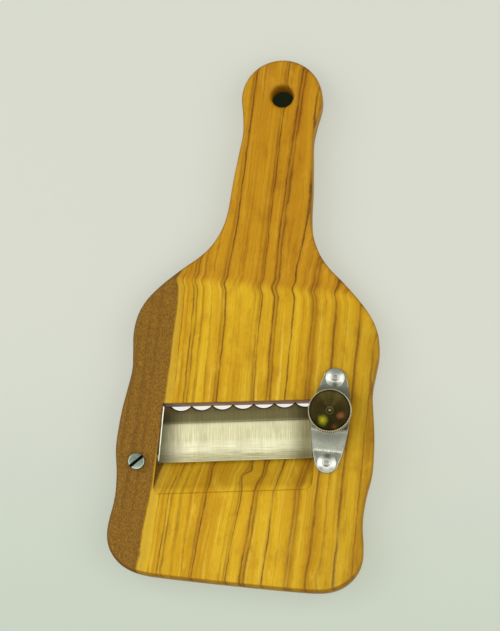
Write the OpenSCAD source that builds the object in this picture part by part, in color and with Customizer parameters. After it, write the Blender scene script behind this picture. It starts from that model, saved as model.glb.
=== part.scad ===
// Hand slicer: a wooden paddle board with a scalloped steel blade that tilts
// about a rod. A knurled knob on a riveted bracket sets the slice thickness.
// The board lies on its back face: Z is its thickness, +Y runs to the handle.
// Origin: centre of the board's outline, on the back face. Millimetres.

/* [Board] */
// Overall length of the board, bottom edge to top of the handle
board_l = 230; // [226:1:234]
// Thickness of the board
board_t = 12; // [11.5:0.5:13]
// Radius of the round end of the handle
lobe_r = 17.7; // [17.2:0.1:18.2]

/* [Hanging hole] */
// Diameter of the hanging hole
hang_d = 9.6; // [8:0.2:10.4]
// Distance of the hole's centre from the origin, along the handle
hang_y = 98.4; // [97:0.2:99]
// Width of the eased rim round the hole, on each face
hang_ease = 1.6; // [0.6:0.2:2]

/* [Window and ramp] */
// Slant of the blade and of the window's lower and upper edges, in degrees
skew = 7.5; // [6.5:0.5:8]
// Left wall of the window
win_x0 = -36.8; // [-37.6:0.2:-36.8]
// Right wall of the window
win_x1 = 30.2; // [30.2:0.1:30.6]
// Length of the sloped ramp in front of the blade's heel
ramp_l = 13.3; // [11:0.1:14]
// Depth of the ramp where it meets the window
ramp_depth = 3.8; // [3.4:0.1:4]
// Plan radius of the ramp's two lower corners
ramp_r = 3; // [1.5:0.5:4]

/* [Blade] */
// Width of the blade from its heel to the tips of the scallops
blade_w = 24; // [23.6:0.1:24]
// Thickness of the blade
blade_t = 1; // [0.8:0.1:1]
// Number of scallops along the cutting edge
scallops = 7; // [5:1:7]
// Distance from one scallop to the next
scallop_pitch = 8.83; // [8.6:0.01:8.83]
// Depth of each scallop
scallop_depth = 2.1; // [1.6:0.1:2.4]
// Width of the ground bevel along the cutting edge
bevel_w = 7.6; // [5:0.2:8]
// Tilt of the blade at rest, set for the thickest slice, in degrees
blade_tilt = 7.9; // [7:0.1:8]
// Height of the heel's front edge over the back face
heel_z = 10.5; // [10.4:0.1:10.6]

/* [Pivot] */
// Diameter of the pivot rod
rod_d = 3; // [2.8:0.1:3]
// Distance of the rod's axis from the heel line
rod_v = 3.4; // [3.3:0.1:3.5]
// Height of the rod's axis over the back face
rod_z = 8.2; // [8:0.1:8.2]
// Clearance of the blade's ears on the rod, on radius
rod_clear = 0.05; // [0.03:0.01:0.09]
// Centre of the lock screw, across the board
lock_x = -44.9; // [-45.2:0.1:-44.6]
// Centre of the lock screw, along the board
lock_y = -67.4; // [-67.6:0.1:-67.3]

/* [Bracket] */
// Position of the bracket's centre across the board
brk_x = 35.5; // [35.3:0.1:35.8]
// Position of the bracket's centre along the board
brk_y = -41.9; // [-42.1:0.1:-41.7]
// Length of the bracket
brk_l = 45; // [44:0.5:46]
// Greatest width of the bracket
brk_w = 16.2; // [15:0.2:17]
// Sheet thickness of the bracket
brk_t = 1.5; // [1.2:0.1:1.5]
// Height of the raised bridge over the board
brk_rise = 3.8; // [3.7:0.1:4]
// Distance between the two rivets
rivet_gap = 36.6; // [36:0.2:37]

/* [Adjuster] */
// Distance of the adjusting stud from the bracket's centre, to the handle
stud_off = 1.9; // [1.8:0.1:2]
// Diameter of the adjusting stud's thread
stud_d = 5; // [4.8:0.1:5]
// Diameter of the knurled knob
knob_d = 18.3; // [17:0.1:19]
// Height of the knob's knurled rim
knob_h = 5.5; // [4.5:0.5:6]
// Height of the knob's top face over the back face
knob_top = 31; // [30.5:0.5:31]
// Wire diameter of the knob's spring
wire_d = 1; // [0.8:0.1:1]
// Number of coils of the knob's spring
spring_turns = 4; // [3:1:5]

/* [Hidden] */
$fn = 64;

cs = cos(skew);
sn = sin(skew);
heel_y = -62.2;                 // the heel line crosses the board's axis here
win_low = 0.3;                  // lower wall of the window, from the heel line
stud_x = brk_x;
stud_y = brk_y + stud_off;
stud_v = -stud_x * sn + (stud_y - heel_y) * cs;   // stud seen from the heel line
stud_u = stud_x * cs + (stud_y - heel_y) * sn;
tab_z = heel_z + stud_v * tan(blade_tilt) - blade_t / 2 / cos(blade_tilt);
end_x0 = win_x0 + 0.5;          // left edge of the blade
end_x1 = win_x1 - 0.5;          // right edge of the blade
brk_z1 = board_t + brk_rise;    // underside of the bridge
brk_z2 = brk_z1 + brk_t;        // top of the bridge
rivet_y = [brk_y - rivet_gap / 2, brk_y + rivet_gap / 2];
lobe_y = board_l / 2 - lobe_r;
// the rod's axis seen from the blade's heel edge, in the blade's own plane
rod_bv = rod_v * cos(blade_tilt) + (rod_z - heel_z) * sin(blade_tilt);
rod_bw = -rod_v * sin(blade_tilt) + (rod_z - heel_z) * cos(blade_tilt);

// right half of the board's outline, from the middle of the bottom edge up
half_knots = [[0, -board_l / 2], [16, -114.95], [28, -114.8], [36, -114.5],
    [42, -113.5], [47, -111.2], [51, -107.5], [53.5, -103], [54.4, -98],
    [54, -92], [53.1, -86], [52.8, -80], [53.4, -72], [54.7, -64], [54.9, -57],
    [54.2, -46], [52.8, -36], [51.8, -28], [52.4, -20], [53.1, -12],
    [52.1, -4], [49, 3], [43.4, 10], [35.1, 18], [28.2, 24], [23.3, 30],
    [19.7, 38], [18.2, 46], [17.5, 58], [16.4, 70], [15.5, 80], [16.1, 87],
    [17, 92]];
function spline(a, b, c, d, t) =
    0.5 * ((2 * b) + (c - a) * t + (2 * a - 5 * b + 4 * c - d) * t * t
           + (3 * b - a - 3 * c + d) * t * t * t);
function knot(i) = i < 0 ? [-half_knots[-i][0], half_knots[-i][1]]
    : i >= len(half_knots)
        ? [lobe_r * cos(-8), lobe_y + lobe_r * sin(-8)]
        : half_knots[i];
half_side = [for (i = [0 : len(half_knots) - 1], k = [0 : 2])
    spline(knot(i - 1), knot(i), knot(i + 1), knot(i + 2), k / 3)];
lobe_arc = [for (a = [-6 : 8 : 82]) [lobe_r * cos(a), lobe_y + lobe_r * sin(a)]];
half_pts = concat(half_side, lobe_arc);
n_half = len(half_pts);
outline = concat(half_pts, [[0, board_l / 2]],
    [for (i = [n_half - 1 : -1 : 1]) [-half_pts[i][0], half_pts[i][1]]]);

// a point on the board from distances along (u) and across (v) the heel line
function at_uv(u, v) = [u * cs - v * sn, heel_y + u * sn + v * cs];
// u of the plane x = c at the distance v from the heel line
function u_of(c, v) = (c + v * sn) / cs;
// y of a line parallel to the heel line, v away from it, at x = c
function y_of(c, v) = heel_y + c * tan(skew) + v / cs;

module along_blade() { translate([0, heel_y, 0]) rotate([0, 0, skew]) children(); }
module rod_axis(r, u0, u1) {
    along_blade() translate([u0, rod_v, rod_z]) rotate([0, 90, 0])
        cylinder(r = r, h = u1 - u0);
}

// ---- board -----------------------------------------------------------------
module outline_block(h) { linear_extrude(h) polygon(outline); }
module window_hole() {
    // the upper edge is slanted a little less than the blade
    translate([0, 0, -1]) linear_extrude(board_t + 2) polygon([
        [win_x0, y_of(win_x0, win_low)], [win_x1, y_of(win_x1, win_low)],
        [win_x1, y_of(win_x1, 24.8)], [win_x0, y_of(win_x0, 25.4)]]);
}
module ramp_cut() {
    // sloped floor: the board's face at the far end, ramp_depth at the window
    slope = atan(ramp_depth / ramp_l);
    y0 = y_of(win_x0, -ramp_l);
    y1 = y_of(win_x1, -ramp_l);
    c0 = [win_x0 + ramp_r, y_of(win_x0 + ramp_r, -ramp_l) + ramp_r / cs];
    c1 = [win_x1 - ramp_r, y_of(win_x1 - ramp_r, -ramp_l) + ramp_r / cs];
    intersection() {
        translate([0, 0, 2]) linear_extrude(board_t) polygon(concat(
            [[win_x0, y_of(win_x0, win_low + 0.5)]],
            [for (a = [180 : 15 : 270 + 7.5]) c0 + ramp_r * [cos(a), sin(a)]],
            [for (a = [277.5 : 12 : 361]) c1 + ramp_r * [cos(a), sin(a)]],
            [[win_x1, y_of(win_x1, win_low + 0.5)]]));
        along_blade() translate([-60, -ramp_l, board_t]) rotate([-slope, 0, 0])
            cube([120, 40, 12]);
    }
}
module adjuster_recess() {
    r = 2;
    translate([0, 0, 6]) linear_extrude(board_t) {
        translate([win_x1 - 1, -46.5]) square([9.3, 12.3]);
        translate([win_x1 + 5, -46.5 + r]) square([5.3, 12.3 - 2 * r]);
        for (y = [-46.5 + r, -34.2 - r]) translate([win_x1 + 8.3, y]) circle(r);
    }
}
module board() color([0.80, 0.62, 0.24]) difference() {
    outline_block(board_t);
    window_hole();
    ramp_cut();
    adjuster_recess();
    // hole for the pivot rod, drilled in from the left side
    rod_axis(rod_d / 2 + 0.02, -58, 39.6);
    // lock screw and its nut's counterbore
    translate([lock_x, lock_y, -1]) cylinder(d = 4.3, h = board_t + 2);
    translate([lock_x, lock_y, -1]) cylinder(d = 10.4, h = 5.4);
    // rivets and the counterbores for their tails
    for (y = rivet_y) {
        translate([brk_x, y, -1]) cylinder(d = 4.1, h = board_t + 2);
        translate([brk_x, y, -1]) cylinder(d = 9.8, h = 4.4);
    }
    // hanging hole with eased rims
    translate([0, hang_y, -1]) cylinder(d = hang_d, h = board_t + 2);
    translate([0, hang_y, board_t - hang_ease])
        cylinder(r1 = hang_d / 2, r2 = hang_d / 2 + hang_ease * 1.25, h = hang_ease * 1.25);
    translate([0, hang_y, -hang_ease * 0.25])
        cylinder(r1 = hang_d / 2 + hang_ease * 1.25, r2 = hang_d / 2, h = hang_ease * 1.25);
}

// ---- blade -----------------------------------------------------------------
module on_plate() {
    along_blade() translate([0, 0, heel_z]) rotate([blade_tilt, 0, 0]) children();
}
module end_lip(c0, c1) {
    // bent-down lip along one end, with an eye round the rod
    eye = 2.3;
    difference() {
        intersection() {
            translate([-60, 0, 0]) rotate([90, 0, 90]) linear_extrude(120) polygon(concat(
                [[rod_bv - eye, -0.5], [19, -0.5], [19, -1.9], [18.6, -2.3], [6.4, -2.3]],
                [for (a = [0 : -15 : -180])
                    [rod_bv + eye * cos(a), rod_bw + eye * sin(a)]]));
            translate([0, 0, -8]) linear_extrude(12) polygon([
                [u_of(c0, 0.2), 0.2], [u_of(c1, 0.2), 0.2],
                [u_of(c1, 20), 20], [u_of(c0, 20), 20]]);
        }
        translate([-60, rod_bv, rod_bw]) rotate([0, 90, 0])
            cylinder(r = rod_d / 2 + rod_clear, h = 120);
    }
}
module blade() color([0.78, 0.78, 0.74]) on_plate() {
    r_s = (scallop_pitch * scallop_pitch / 4 + scallop_depth * scallop_depth) / 2 / scallop_depth;
    u_first = u_of(end_x0, blade_w) + 3.4;
    corner = 1.4;
    difference() {
        union() {
            difference() {
                translate([0, 0, -blade_t]) linear_extrude(blade_t) polygon(concat(
                    [for (a = [180 : 15 : 270])
                        [u_of(end_x0, 0) + corner + 0.2, corner] + corner * [cos(a), sin(a)]],
                    [[u_of(end_x1, 0), 0], [u_of(end_x1, blade_w - 0.1), blade_w - 0.1],
                     [u_of(end_x0, blade_w - 0.1), blade_w - 0.1]]));
                // ground bevel on the front face
                translate([-60, blade_w - bevel_w, 0]) rotate([-5.6, 0, 0])
                    cube([120, 20, 5]);
            }
            // fork that the adjuster's swivel bush holds
            translate([0, 0, -blade_t]) linear_extrude(blade_t) polygon([
                [u_of(end_x1, 13.4) - 1.5, 13.4], [stud_u + 3.3, 13.4],
                [stud_u + 3.3, 21.4], [u_of(end_x1, 21.4) - 1.5, 21.4]]);
        }
        // slot of the fork
        translate([stud_u, stud_v / cos(blade_tilt) - 0.17, -3]) cylinder(r = 2.7, h = 6);
        translate([stud_u, stud_v / cos(blade_tilt) - 0.17 - 2.6, -3]) cube([8, 5.2, 6]);
        // scallops
        for (i = [0 : scallops - 1])
            translate([u_first + (i + 0.5) * scallop_pitch, blade_w + r_s - scallop_depth, -3])
                cylinder(r = r_s, h = 6);
    }
    end_lip(end_x0, end_x0 + 1);
    end_lip(end_x1 - 1, end_x1);
}

// ---- pivot -----------------------------------------------------------------
module pivot_rod() color([0.70, 0.70, 0.70]) difference() {
    rod_axis(rod_d / 2, -49.5, 39.2);
    // half-round notch that the lock screw passes through
    translate([lock_x, lock_y, 0]) cylinder(d = 4.2, h = board_t + 6);
}
module rod_hole_plug() color([0.55, 0.40, 0.18]) intersection() {
    rod_axis(rod_d / 2, -58, -49.8);
    outline_block(board_t);
}
module pivot_lock_screw() color([0.72, 0.74, 0.74]) difference() {
    union() {
        translate([lock_x, lock_y, 0.8]) cylinder(d = 4, h = board_t - 0.8 + 0.2);
        translate([lock_x, lock_y, board_t]) cylinder(d = 7, h = 2);
        translate([lock_x, lock_y, board_t + 2]) cylinder(r1 = 3.5, r2 = 3, h = 0.5);
    }
    translate([lock_x, lock_y, board_t + 1.4]) rotate([0, 0, 45])
        translate([-5, -0.6, 0]) cube([10, 1.2, 3]);
}
module lock_screw_washer() color([0.68, 0.69, 0.70]) translate([lock_x, lock_y, 3.6])
    difference() {
        cylinder(d = 9, h = 0.8);
        translate([0, 0, -1]) cylinder(d = 4.3, h = 3);
    }
module lock_screw_nut() color([0.70, 0.70, 0.66]) translate([lock_x, lock_y, 0.4])
    difference() {
        cylinder(d = 8.08, h = 3.2, $fn = 6);
        translate([0, 0, -1]) cylinder(d = 4.02, h = 6);
    }

// ---- bracket ---------------------------------------------------------------
function brk_half(y) = sqrt(55.6 * 55.6 - y * y) - (55.6 - brk_w / 2);
module bracket() color([0.76, 0.77, 0.75]) {
    e = brk_l / 2;
    k = brk_t * tan(13.5);
    m = brk_t * tan(16);
    side = concat(
        [for (y = [-18 : 3 : 18]) [brk_half(y), y]],
        [for (a = [15 : 15 : 165]) [5 * cos(a), e - 4.7 + 4.7 * sin(a)]],
        [for (y = [18 : -3 : -18]) [-brk_half(y), y]],
        [for (a = [195 : 15 : 345]) [5 * cos(a), -e + 4.7 + 4.7 * sin(a)]]);
    difference() {
        intersection() {
            translate([brk_x, brk_y, 0]) linear_extrude(40) polygon(side);
            translate([brk_x - 15, brk_y, 0]) rotate([90, 0, 90]) linear_extrude(30) polygon([
                [-30, board_t], [-12.5, board_t], [-5, brk_z1], [7.5, brk_z1],
                [13.5, board_t], [30, board_t], [30, board_t + brk_t],
                [13.5 + m, board_t + brk_t], [7.5 + m, brk_z2], [-5 - k, brk_z2],
                [-12.5 - k, board_t + brk_t], [-30, board_t + brk_t]]);
        }
        translate([stud_x, stud_y, 0]) cylinder(d = 7, h = 40);
        for (y = rivet_y) translate([brk_x, y, 0]) cylinder(d = 4.1, h = 40);
    }
}
module bracket_rivets() color([0.80, 0.80, 0.80]) for (y = rivet_y)
    translate([brk_x, y, 0]) difference() {
        union() {
            translate([0, 0, 1.2]) cylinder(d = 4, h = board_t + brk_t - 1.1);
            // dome head: a slice of a ball
            translate([0, 0, board_t + brk_t]) intersection() {
                translate([0, 0, -5.2]) sphere(r = 6.55);
                cylinder(d = 8, h = 3);
            }
            // upset tail behind the washer
            translate([0, 0, 0.6]) cylinder(d = 5.6, h = 1.6);
        }
        translate([0, 0, -1]) cylinder(d = 2.3, h = 30);
        translate([0, 0, board_t + brk_t + 0.85]) cylinder(d = 3.1, h = 4);
    }
module rivet_mandrels() color([0.60, 0.61, 0.62]) for (y = rivet_y)
    translate([brk_x, y, 0]) cylinder(d = 2.26, h = board_t + brk_t + 0.95);
module rivet_washers() color([0.66, 0.67, 0.68]) for (y = rivet_y)
    translate([brk_x, y, 2.3]) difference() {
        cylinder(d = 9, h = 1);
        translate([0, 0, -1]) cylinder(d = 4.1, h = 4);
    }
module threaded_bush() color([0.78, 0.66, 0.36]) translate([stud_x, stud_y, 0]) difference() {
    union() {
        translate([0, 0, brk_z1 - 0.5]) cylinder(d = 6.96, h = brk_t + 0.6);
        translate([0, 0, brk_z2]) cylinder(d = 8.6, h = 2);
    }
    translate([0, 0, brk_z1 - 2]) cylinder(r = stud_d / 2 + 0.05, h = 10);
}

// ---- adjuster --------------------------------------------------------------
hub_z = knob_top - knob_h - 1.5;
module knob() color([0.25, 0.22, 0.16]) translate([stud_x, stud_y, 0])
    rotate_extrude() polygon([[stud_d / 2, hub_z], [5.5, hub_z], [5.5, hub_z + 1.5],
        [knob_d / 2 - 0.5, hub_z + 1.5], [knob_d / 2, hub_z + 2],
        [knob_d / 2, knob_top - 0.6], [knob_d / 2 - 0.6, knob_top],
        [knob_d / 2 - 1, knob_top], [5, knob_top - 0.5], [0, knob_top - 0.8],
        [0, hub_z + 3.5], [stud_d / 2, hub_z + 3.5]]);
module adjusting_stud() color([0.66, 0.66, 0.64]) translate([stud_x, stud_y, 0])
    rotate_extrude() polygon([[0, tab_z - 3.5], [1.5, tab_z - 3.5], [1.5, tab_z - 3.1],
        [1.15, tab_z - 3.1], [1.15, tab_z - 2.5], [1.5, tab_z - 2.5],
        [1.5, tab_z + 2.3], [stud_d / 2, tab_z + 2.3], [stud_d / 2, hub_z + 3.45],
        [0, hub_z + 3.45]]);
module swivel_bush() color([0.80, 0.68, 0.38]) translate([stud_x, stud_y, 0])
    rotate_extrude() polygon([[1.55, tab_z - 2.25], [4.2, tab_z - 2.25],
        [4.2, tab_z - 1.25], [2.2, tab_z - 1.25], [2.2, tab_z + 1.25],
        [4.2, tab_z + 1.25], [4.2, tab_z + 2.25], [1.55, tab_z + 2.25]]);
module retaining_clip() color([0.35, 0.35, 0.36])
    translate([stud_x, stud_y, tab_z - 3.05]) difference() {
        cylinder(r = 3, h = 0.5);
        translate([0, 0, -1]) cylinder(r = 1.2, h = 3);
        translate([0, -0.9, -1]) cube([6, 1.8, 3]);
    }
// coil spring between the bracket and the knob, as one swept wire
spring_r = 5.1;
spring_z0 = brk_z2 + 0.05;
spring_z1 = hub_z - 0.65;
coil_steps = 16;
coil_sides = 8;
coil_rings = spring_turns * coil_steps;
coil_pitch = (spring_z1 - spring_z0 - wire_d) / spring_turns;
function coil_pt(i, k) =
    let (a = 360 * i / coil_steps, b = 360 * k / coil_sides,
         r = spring_r + wire_d / 2 * cos(b))
    [stud_x + r * cos(a), stud_y + r * sin(a),
     spring_z0 + wire_d / 2 + coil_pitch * i / coil_steps + wire_d / 2 * sin(b)];
module knob_spring() color([0.60, 0.60, 0.60]) polyhedron(
    points = [for (i = [0 : coil_rings], k = [0 : coil_sides - 1]) coil_pt(i, k)],
    faces = concat(
        [for (i = [0 : coil_rings - 1], k = [0 : coil_sides - 1])
            [i * coil_sides + k, i * coil_sides + (k + 1) % coil_sides,
             (i + 1) * coil_sides + (k + 1) % coil_sides, (i + 1) * coil_sides + k]],
        [[for (k = [coil_sides - 1 : -1 : 0]) k]],
        [[for (k = [0 : coil_sides - 1]) coil_rings * coil_sides + k]]));
module spring_washer() color([0.70, 0.70, 0.68]) translate([stud_x, stud_y, hub_z - 0.6])
    difference() {
        cylinder(d = 11.8, h = 0.55);
        translate([0, 0, -1]) cylinder(r = stud_d / 2 + 0.1, h = 3);
    }

board();
blade();
pivot_rod();
rod_hole_plug();
pivot_lock_screw();
lock_screw_washer();
lock_screw_nut();
bracket();
bracket_rivets();
rivet_mandrels();
rivet_washers();
threaded_bush();
knob();
adjusting_stud();
knob_spring();
spring_washer();
swivel_bush();
retaining_clip();
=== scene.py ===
import math

import bmesh
import bpy
import numpy as np
from mathutils import Matrix, Vector, geometry


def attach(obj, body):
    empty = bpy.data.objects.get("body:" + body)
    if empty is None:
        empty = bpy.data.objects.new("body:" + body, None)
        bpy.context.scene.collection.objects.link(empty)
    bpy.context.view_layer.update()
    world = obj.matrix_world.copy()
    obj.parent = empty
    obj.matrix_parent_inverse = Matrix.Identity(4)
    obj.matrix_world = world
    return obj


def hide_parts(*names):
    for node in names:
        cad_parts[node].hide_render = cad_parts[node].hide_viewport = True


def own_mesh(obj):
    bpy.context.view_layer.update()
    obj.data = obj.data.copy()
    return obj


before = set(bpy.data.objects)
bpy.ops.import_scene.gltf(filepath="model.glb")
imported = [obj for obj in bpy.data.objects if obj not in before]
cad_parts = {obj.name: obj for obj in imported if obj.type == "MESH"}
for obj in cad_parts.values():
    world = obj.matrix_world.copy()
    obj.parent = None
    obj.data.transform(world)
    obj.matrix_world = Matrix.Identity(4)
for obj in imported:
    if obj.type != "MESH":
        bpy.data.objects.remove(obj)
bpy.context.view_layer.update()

MM = 0.001
PI = math.pi

# ---- sizes shared with the CAD model, in millimetres ------------------------------
BOARD_T = 12.0
SKEW = math.radians(7.5)
CS, SN = math.cos(SKEW), math.sin(SKEW)
HEEL_Y = -62.2
WIN_X0, WIN_X1 = -36.8, 30.2
RAMP_L, RAMP_D, RAMP_R = 13.3, 3.8, 3.0
TILT = math.radians(7.9)
HEEL_Z = 10.5
ROD_V, ROD_Z = 3.4, 8.2
LOCK = (-44.9, -67.4)
BRK = (35.5, -41.9)
RIVETS = ((35.5, -60.2), (35.5, -23.6))
STUD = (35.5, -40.0)
HANG = (0.0, 98.4)


def at_uv(u, v):
    return (u * CS - v * SN, HEEL_Y + u * SN + v * CS)


def u_of(c, v):
    return (c + v * SN) / CS


def y_of(c, v):
    return HEEL_Y + c * math.tan(SKEW) + v / CS


def ramp_z(x, y):
    """Height of the ramp's floor at a point of the board."""
    v = (y - HEEL_Y) * CS - x * SN
    return min(BOARD_T, BOARD_T - (v + RAMP_L) * RAMP_D / RAMP_L)


# ---- mesh helpers -----------------------------------------------------------------
def make(name, verts, faces, merge=0.002, sharp=32.0, scale=MM):
    """A mesh object from vertices in millimetres, merged, outward and smooth with sharp edges marked."""
    bm = bmesh.new()
    vs = [bm.verts.new((p[0] * scale, p[1] * scale, p[2] * scale)) for p in verts]
    for f in faces:
        ids = []
        for i in f:
            if not ids or ids[-1] != i:
                ids.append(i)
        if len(set(ids)) < 3:
            continue
        try:
            bm.faces.new([vs[i] for i in ids])
        except ValueError:
            pass
    return from_bm(name, bm, merge, sharp)


def from_bm(name, bm, merge=0.002, sharp=32.0):
    if merge:
        bmesh.ops.remove_doubles(bm, verts=bm.verts, dist=merge * MM)
        bmesh.ops.dissolve_degenerate(bm, dist=merge * MM * 0.25, edges=bm.edges)
    loose = [v for v in bm.verts if not v.link_faces]
    bmesh.ops.delete(bm, geom=loose, context="VERTS")
    bmesh.ops.recalc_face_normals(bm, faces=bm.faces)
    open_edges = sum(1 for e in bm.edges if len(e.link_faces) != 2)
    mark_sharp(bm, sharp)
    mesh = bpy.data.meshes.new(name)
    bm.to_mesh(mesh)
    bm.free()
    obj = bpy.data.objects.new(name, mesh)
    bpy.context.scene.collection.objects.link(obj)
    print(f"PIECE {name}: {len(mesh.vertices)} verts, {len(mesh.polygons)} faces, {open_edges} open edges")
    return obj


def mark_sharp(bm, sharp):
    limit = math.radians(sharp)
    for f in bm.faces:
        f.smooth = True
    for e in bm.edges:
        e.smooth = not (len(e.link_faces) == 2 and e.calc_face_angle(0) > limit)


def resharpen(obj, sharp=32.0, merge=0.0):
    bm = bmesh.new()
    bm.from_mesh(obj.data)
    if merge:
        bmesh.ops.remove_doubles(bm, verts=bm.verts, dist=merge * MM)
        bmesh.ops.dissolve_degenerate(bm, dist=merge * MM * 0.25, edges=bm.edges)
    bmesh.ops.recalc_face_normals(bm, faces=bm.faces)
    open_edges = sum(1 for e in bm.edges if len(e.link_faces) != 2)
    mark_sharp(bm, sharp)
    bm.to_mesh(obj.data)
    bm.free()
    print(f"PIECE {obj.name}: {len(obj.data.vertices)} verts after cutting, {open_edges} open edges")


def apply_modifiers(obj):
    dg = bpy.context.evaluated_depsgraph_get()
    mesh = bpy.data.meshes.new_from_object(obj.evaluated_get(dg))
    obj.modifiers.clear()
    obj.data = mesh


def boolean(obj, cutter, operation="DIFFERENCE", sharp=32.0):
    m = obj.modifiers.new("cut", "BOOLEAN")
    m.operation = operation
    m.solver = "EXACT"
    m.object = cutter
    bpy.context.view_layer.update()
    apply_modifiers(obj)
    bpy.data.objects.remove(cutter)
    resharpen(obj, sharp, 0.0005)


def soften(obj, width, angle=30.0, segments=2, sharp=32.0):
    """Rounds the sharp edges of a simple piece."""
    m = obj.modifiers.new("round", "BEVEL")
    m.width = width * MM
    m.segments = segments
    m.limit_method = "ANGLE"
    m.angle_limit = math.radians(angle)
    m.use_clamp_overlap = True
    m.harden_normals = False
    bpy.context.view_layer.update()
    apply_modifiers(obj)
    resharpen(obj, sharp, 0.0005)


def fillet(points, radius, steps=4, closed=False):
    """A polyline with its corners rounded. radius is one number or one for each point."""
    out, n = [], len(points)
    for i, p in enumerate(points):
        r = radius[i] if isinstance(radius, (list, tuple)) else radius
        if r <= 0 or (not closed and i in (0, n - 1)):
            out.append((p[0], p[1]))
            continue
        a, b, c = Vector(points[i - 1]), Vector(p), Vector(points[(i + 1) % n])
        u, v = a - b, c - b
        lu, lv = u.length, v.length
        if lu < 1e-6 or lv < 1e-6:
            out.append((p[0], p[1]))
            continue
        u /= lu
        v /= lv
        turn = u.angle(v)
        if turn > PI - 0.01:
            out.append((p[0], p[1]))
            continue
        t = min(r / math.tan(turn / 2), lu * 0.48, lv * 0.48)
        rr = t * math.tan(turn / 2)
        ctr = b + (u + v).normalized() * (rr / math.sin(turn / 2))
        p0, p1 = b + u * t - ctr, b + v * t - ctr
        a0, a1 = math.atan2(p0.y, p0.x), math.atan2(p1.y, p1.x)
        d = (a1 - a0 + PI) % (2 * PI) - PI
        for k in range(steps + 1):
            w = a0 + d * k / steps
            out.append((ctr.x + rr * math.cos(w), ctr.y + rr * math.sin(w)))
    return out


def lathe(profile, centre=(0, 0), segs=96, closed=True, radius=None):
    """Vertices and faces of a profile of (r, z) turned about a vertical axis. radius(angle, r, z) may change r."""
    verts, faces, rings = [], [], []
    for r, z in profile:
        if r < 1e-6:
            rings.append([len(verts)])
            verts.append((centre[0], centre[1], z))
            continue
        ring = []
        for k in range(segs):
            a = 2 * PI * k / segs
            rr = radius(a, r, z) if radius else r
            ring.append(len(verts))
            verts.append((centre[0] + rr * math.cos(a), centre[1] + rr * math.sin(a), z))
        rings.append(ring)
    n = len(rings)
    for i in range(n if closed else n - 1):
        a, b = rings[i], rings[(i + 1) % n]
        for k in range(segs):
            q = (k + 1) % segs
            if len(a) == 1 and len(b) == 1:
                continue
            if len(a) == 1:
                faces.append((a[0], b[k], b[q]))
            elif len(b) == 1:
                faces.append((a[k], a[q], b[0]))
            else:
                faces.append((a[k], a[q], b[q], b[k]))
    return verts, faces


def join(parts):
    verts, faces = [], []
    for vs, fs in parts:
        k = len(verts)
        verts += list(vs)
        faces += [tuple(i + k for i in f) for f in fs]
    return verts, faces


def thread(pitch, major, minor, z0, z1, fade=0.6):
    """A radius function that cuts a right-handed V thread between z0 and z1."""
    def radius(a, r, z):
        if r < minor or z < z0 or z > z1:
            return r
        t = (z / pitch - a / (2 * PI)) % 1.0
        tooth = min(1.0, max(0.0, abs(t * 2 - 1) * 1.35 - 0.15))
        ends = min(1.0, (z - z0) / fade, (z1 - z) / fade)
        return minor + (r - minor) * (1 - ends + ends * tooth) if r > minor else r
    return radius


def thread_rows(r, z0, z1, step=0.1):
    n = max(2, int(abs(z1 - z0) / step))
    return [(r, z0 + (z1 - z0) * k / n) for k in range(n + 1)]


def area2(loop):
    return sum(loop[i - 1][0] * loop[i][1] - loop[i][0] * loop[i - 1][1] for i in range(len(loop)))


def normals(loop):
    """Outward mitred normals of a counter-clockwise closed loop."""
    n = len(loop)
    sgn = 1 if area2(loop) > 0 else -1
    out = []
    for i in range(n):
        a, b, c = Vector(loop[i - 1][:2]), Vector(loop[i][:2]), Vector(loop[(i + 1) % n][:2])
        e1, e2 = b - a, c - b
        if e1.length < 1e-7:
            e1 = e2
        if e2.length < 1e-7:
            e2 = e1
        n1 = Vector((e1.y, -e1.x)).normalized() * sgn
        n2 = Vector((e2.y, -e2.x)).normalized() * sgn
        m = n1 + n2
        m = m.normalized() if m.length > 1e-6 else n1
        out.append(m / max(0.35, m.dot(n1)))
    return out


def offset(loop, d):
    ns = normals(loop)
    if isinstance(d, (int, float)):
        d = [d] * len(loop)
    return [(loop[i][0] + ns[i].x * d[i], loop[i][1] + ns[i].y * d[i]) for i in range(len(loop))]


def circle(c, r, n=64, phase=0.0):
    return [(c[0] + r * math.cos(2 * PI * k / n + phase), c[1] + r * math.sin(2 * PI * k / n + phase)) for k in range(n)]


def inside(loop, pts):
    x, y = pts[:, 0], pts[:, 1]
    hit = np.zeros(len(pts), bool)
    for i in range(len(loop)):
        (x0, y0), (x1, y1) = loop[i - 1][:2], loop[i][:2]
        if y0 == y1:
            continue
        cross = (y0 > y) != (y1 > y)
        hit ^= cross & (x < (x1 - x0) * (y - y0) / (y1 - y0) + x0)
    return hit


def clearance(loop, pts):
    best = np.full(len(pts), 1e9)
    for i in range(len(loop)):
        a, b = np.array(loop[i - 1][:2], float), np.array(loop[i][:2], float)
        d = b - a
        t = np.clip(((pts - a) @ d) / max(1e-12, float(d @ d)), 0, 1)
        best = np.minimum(best, np.hypot(*(pts - (a + t[:, None] * d)).T))
    return best


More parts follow.
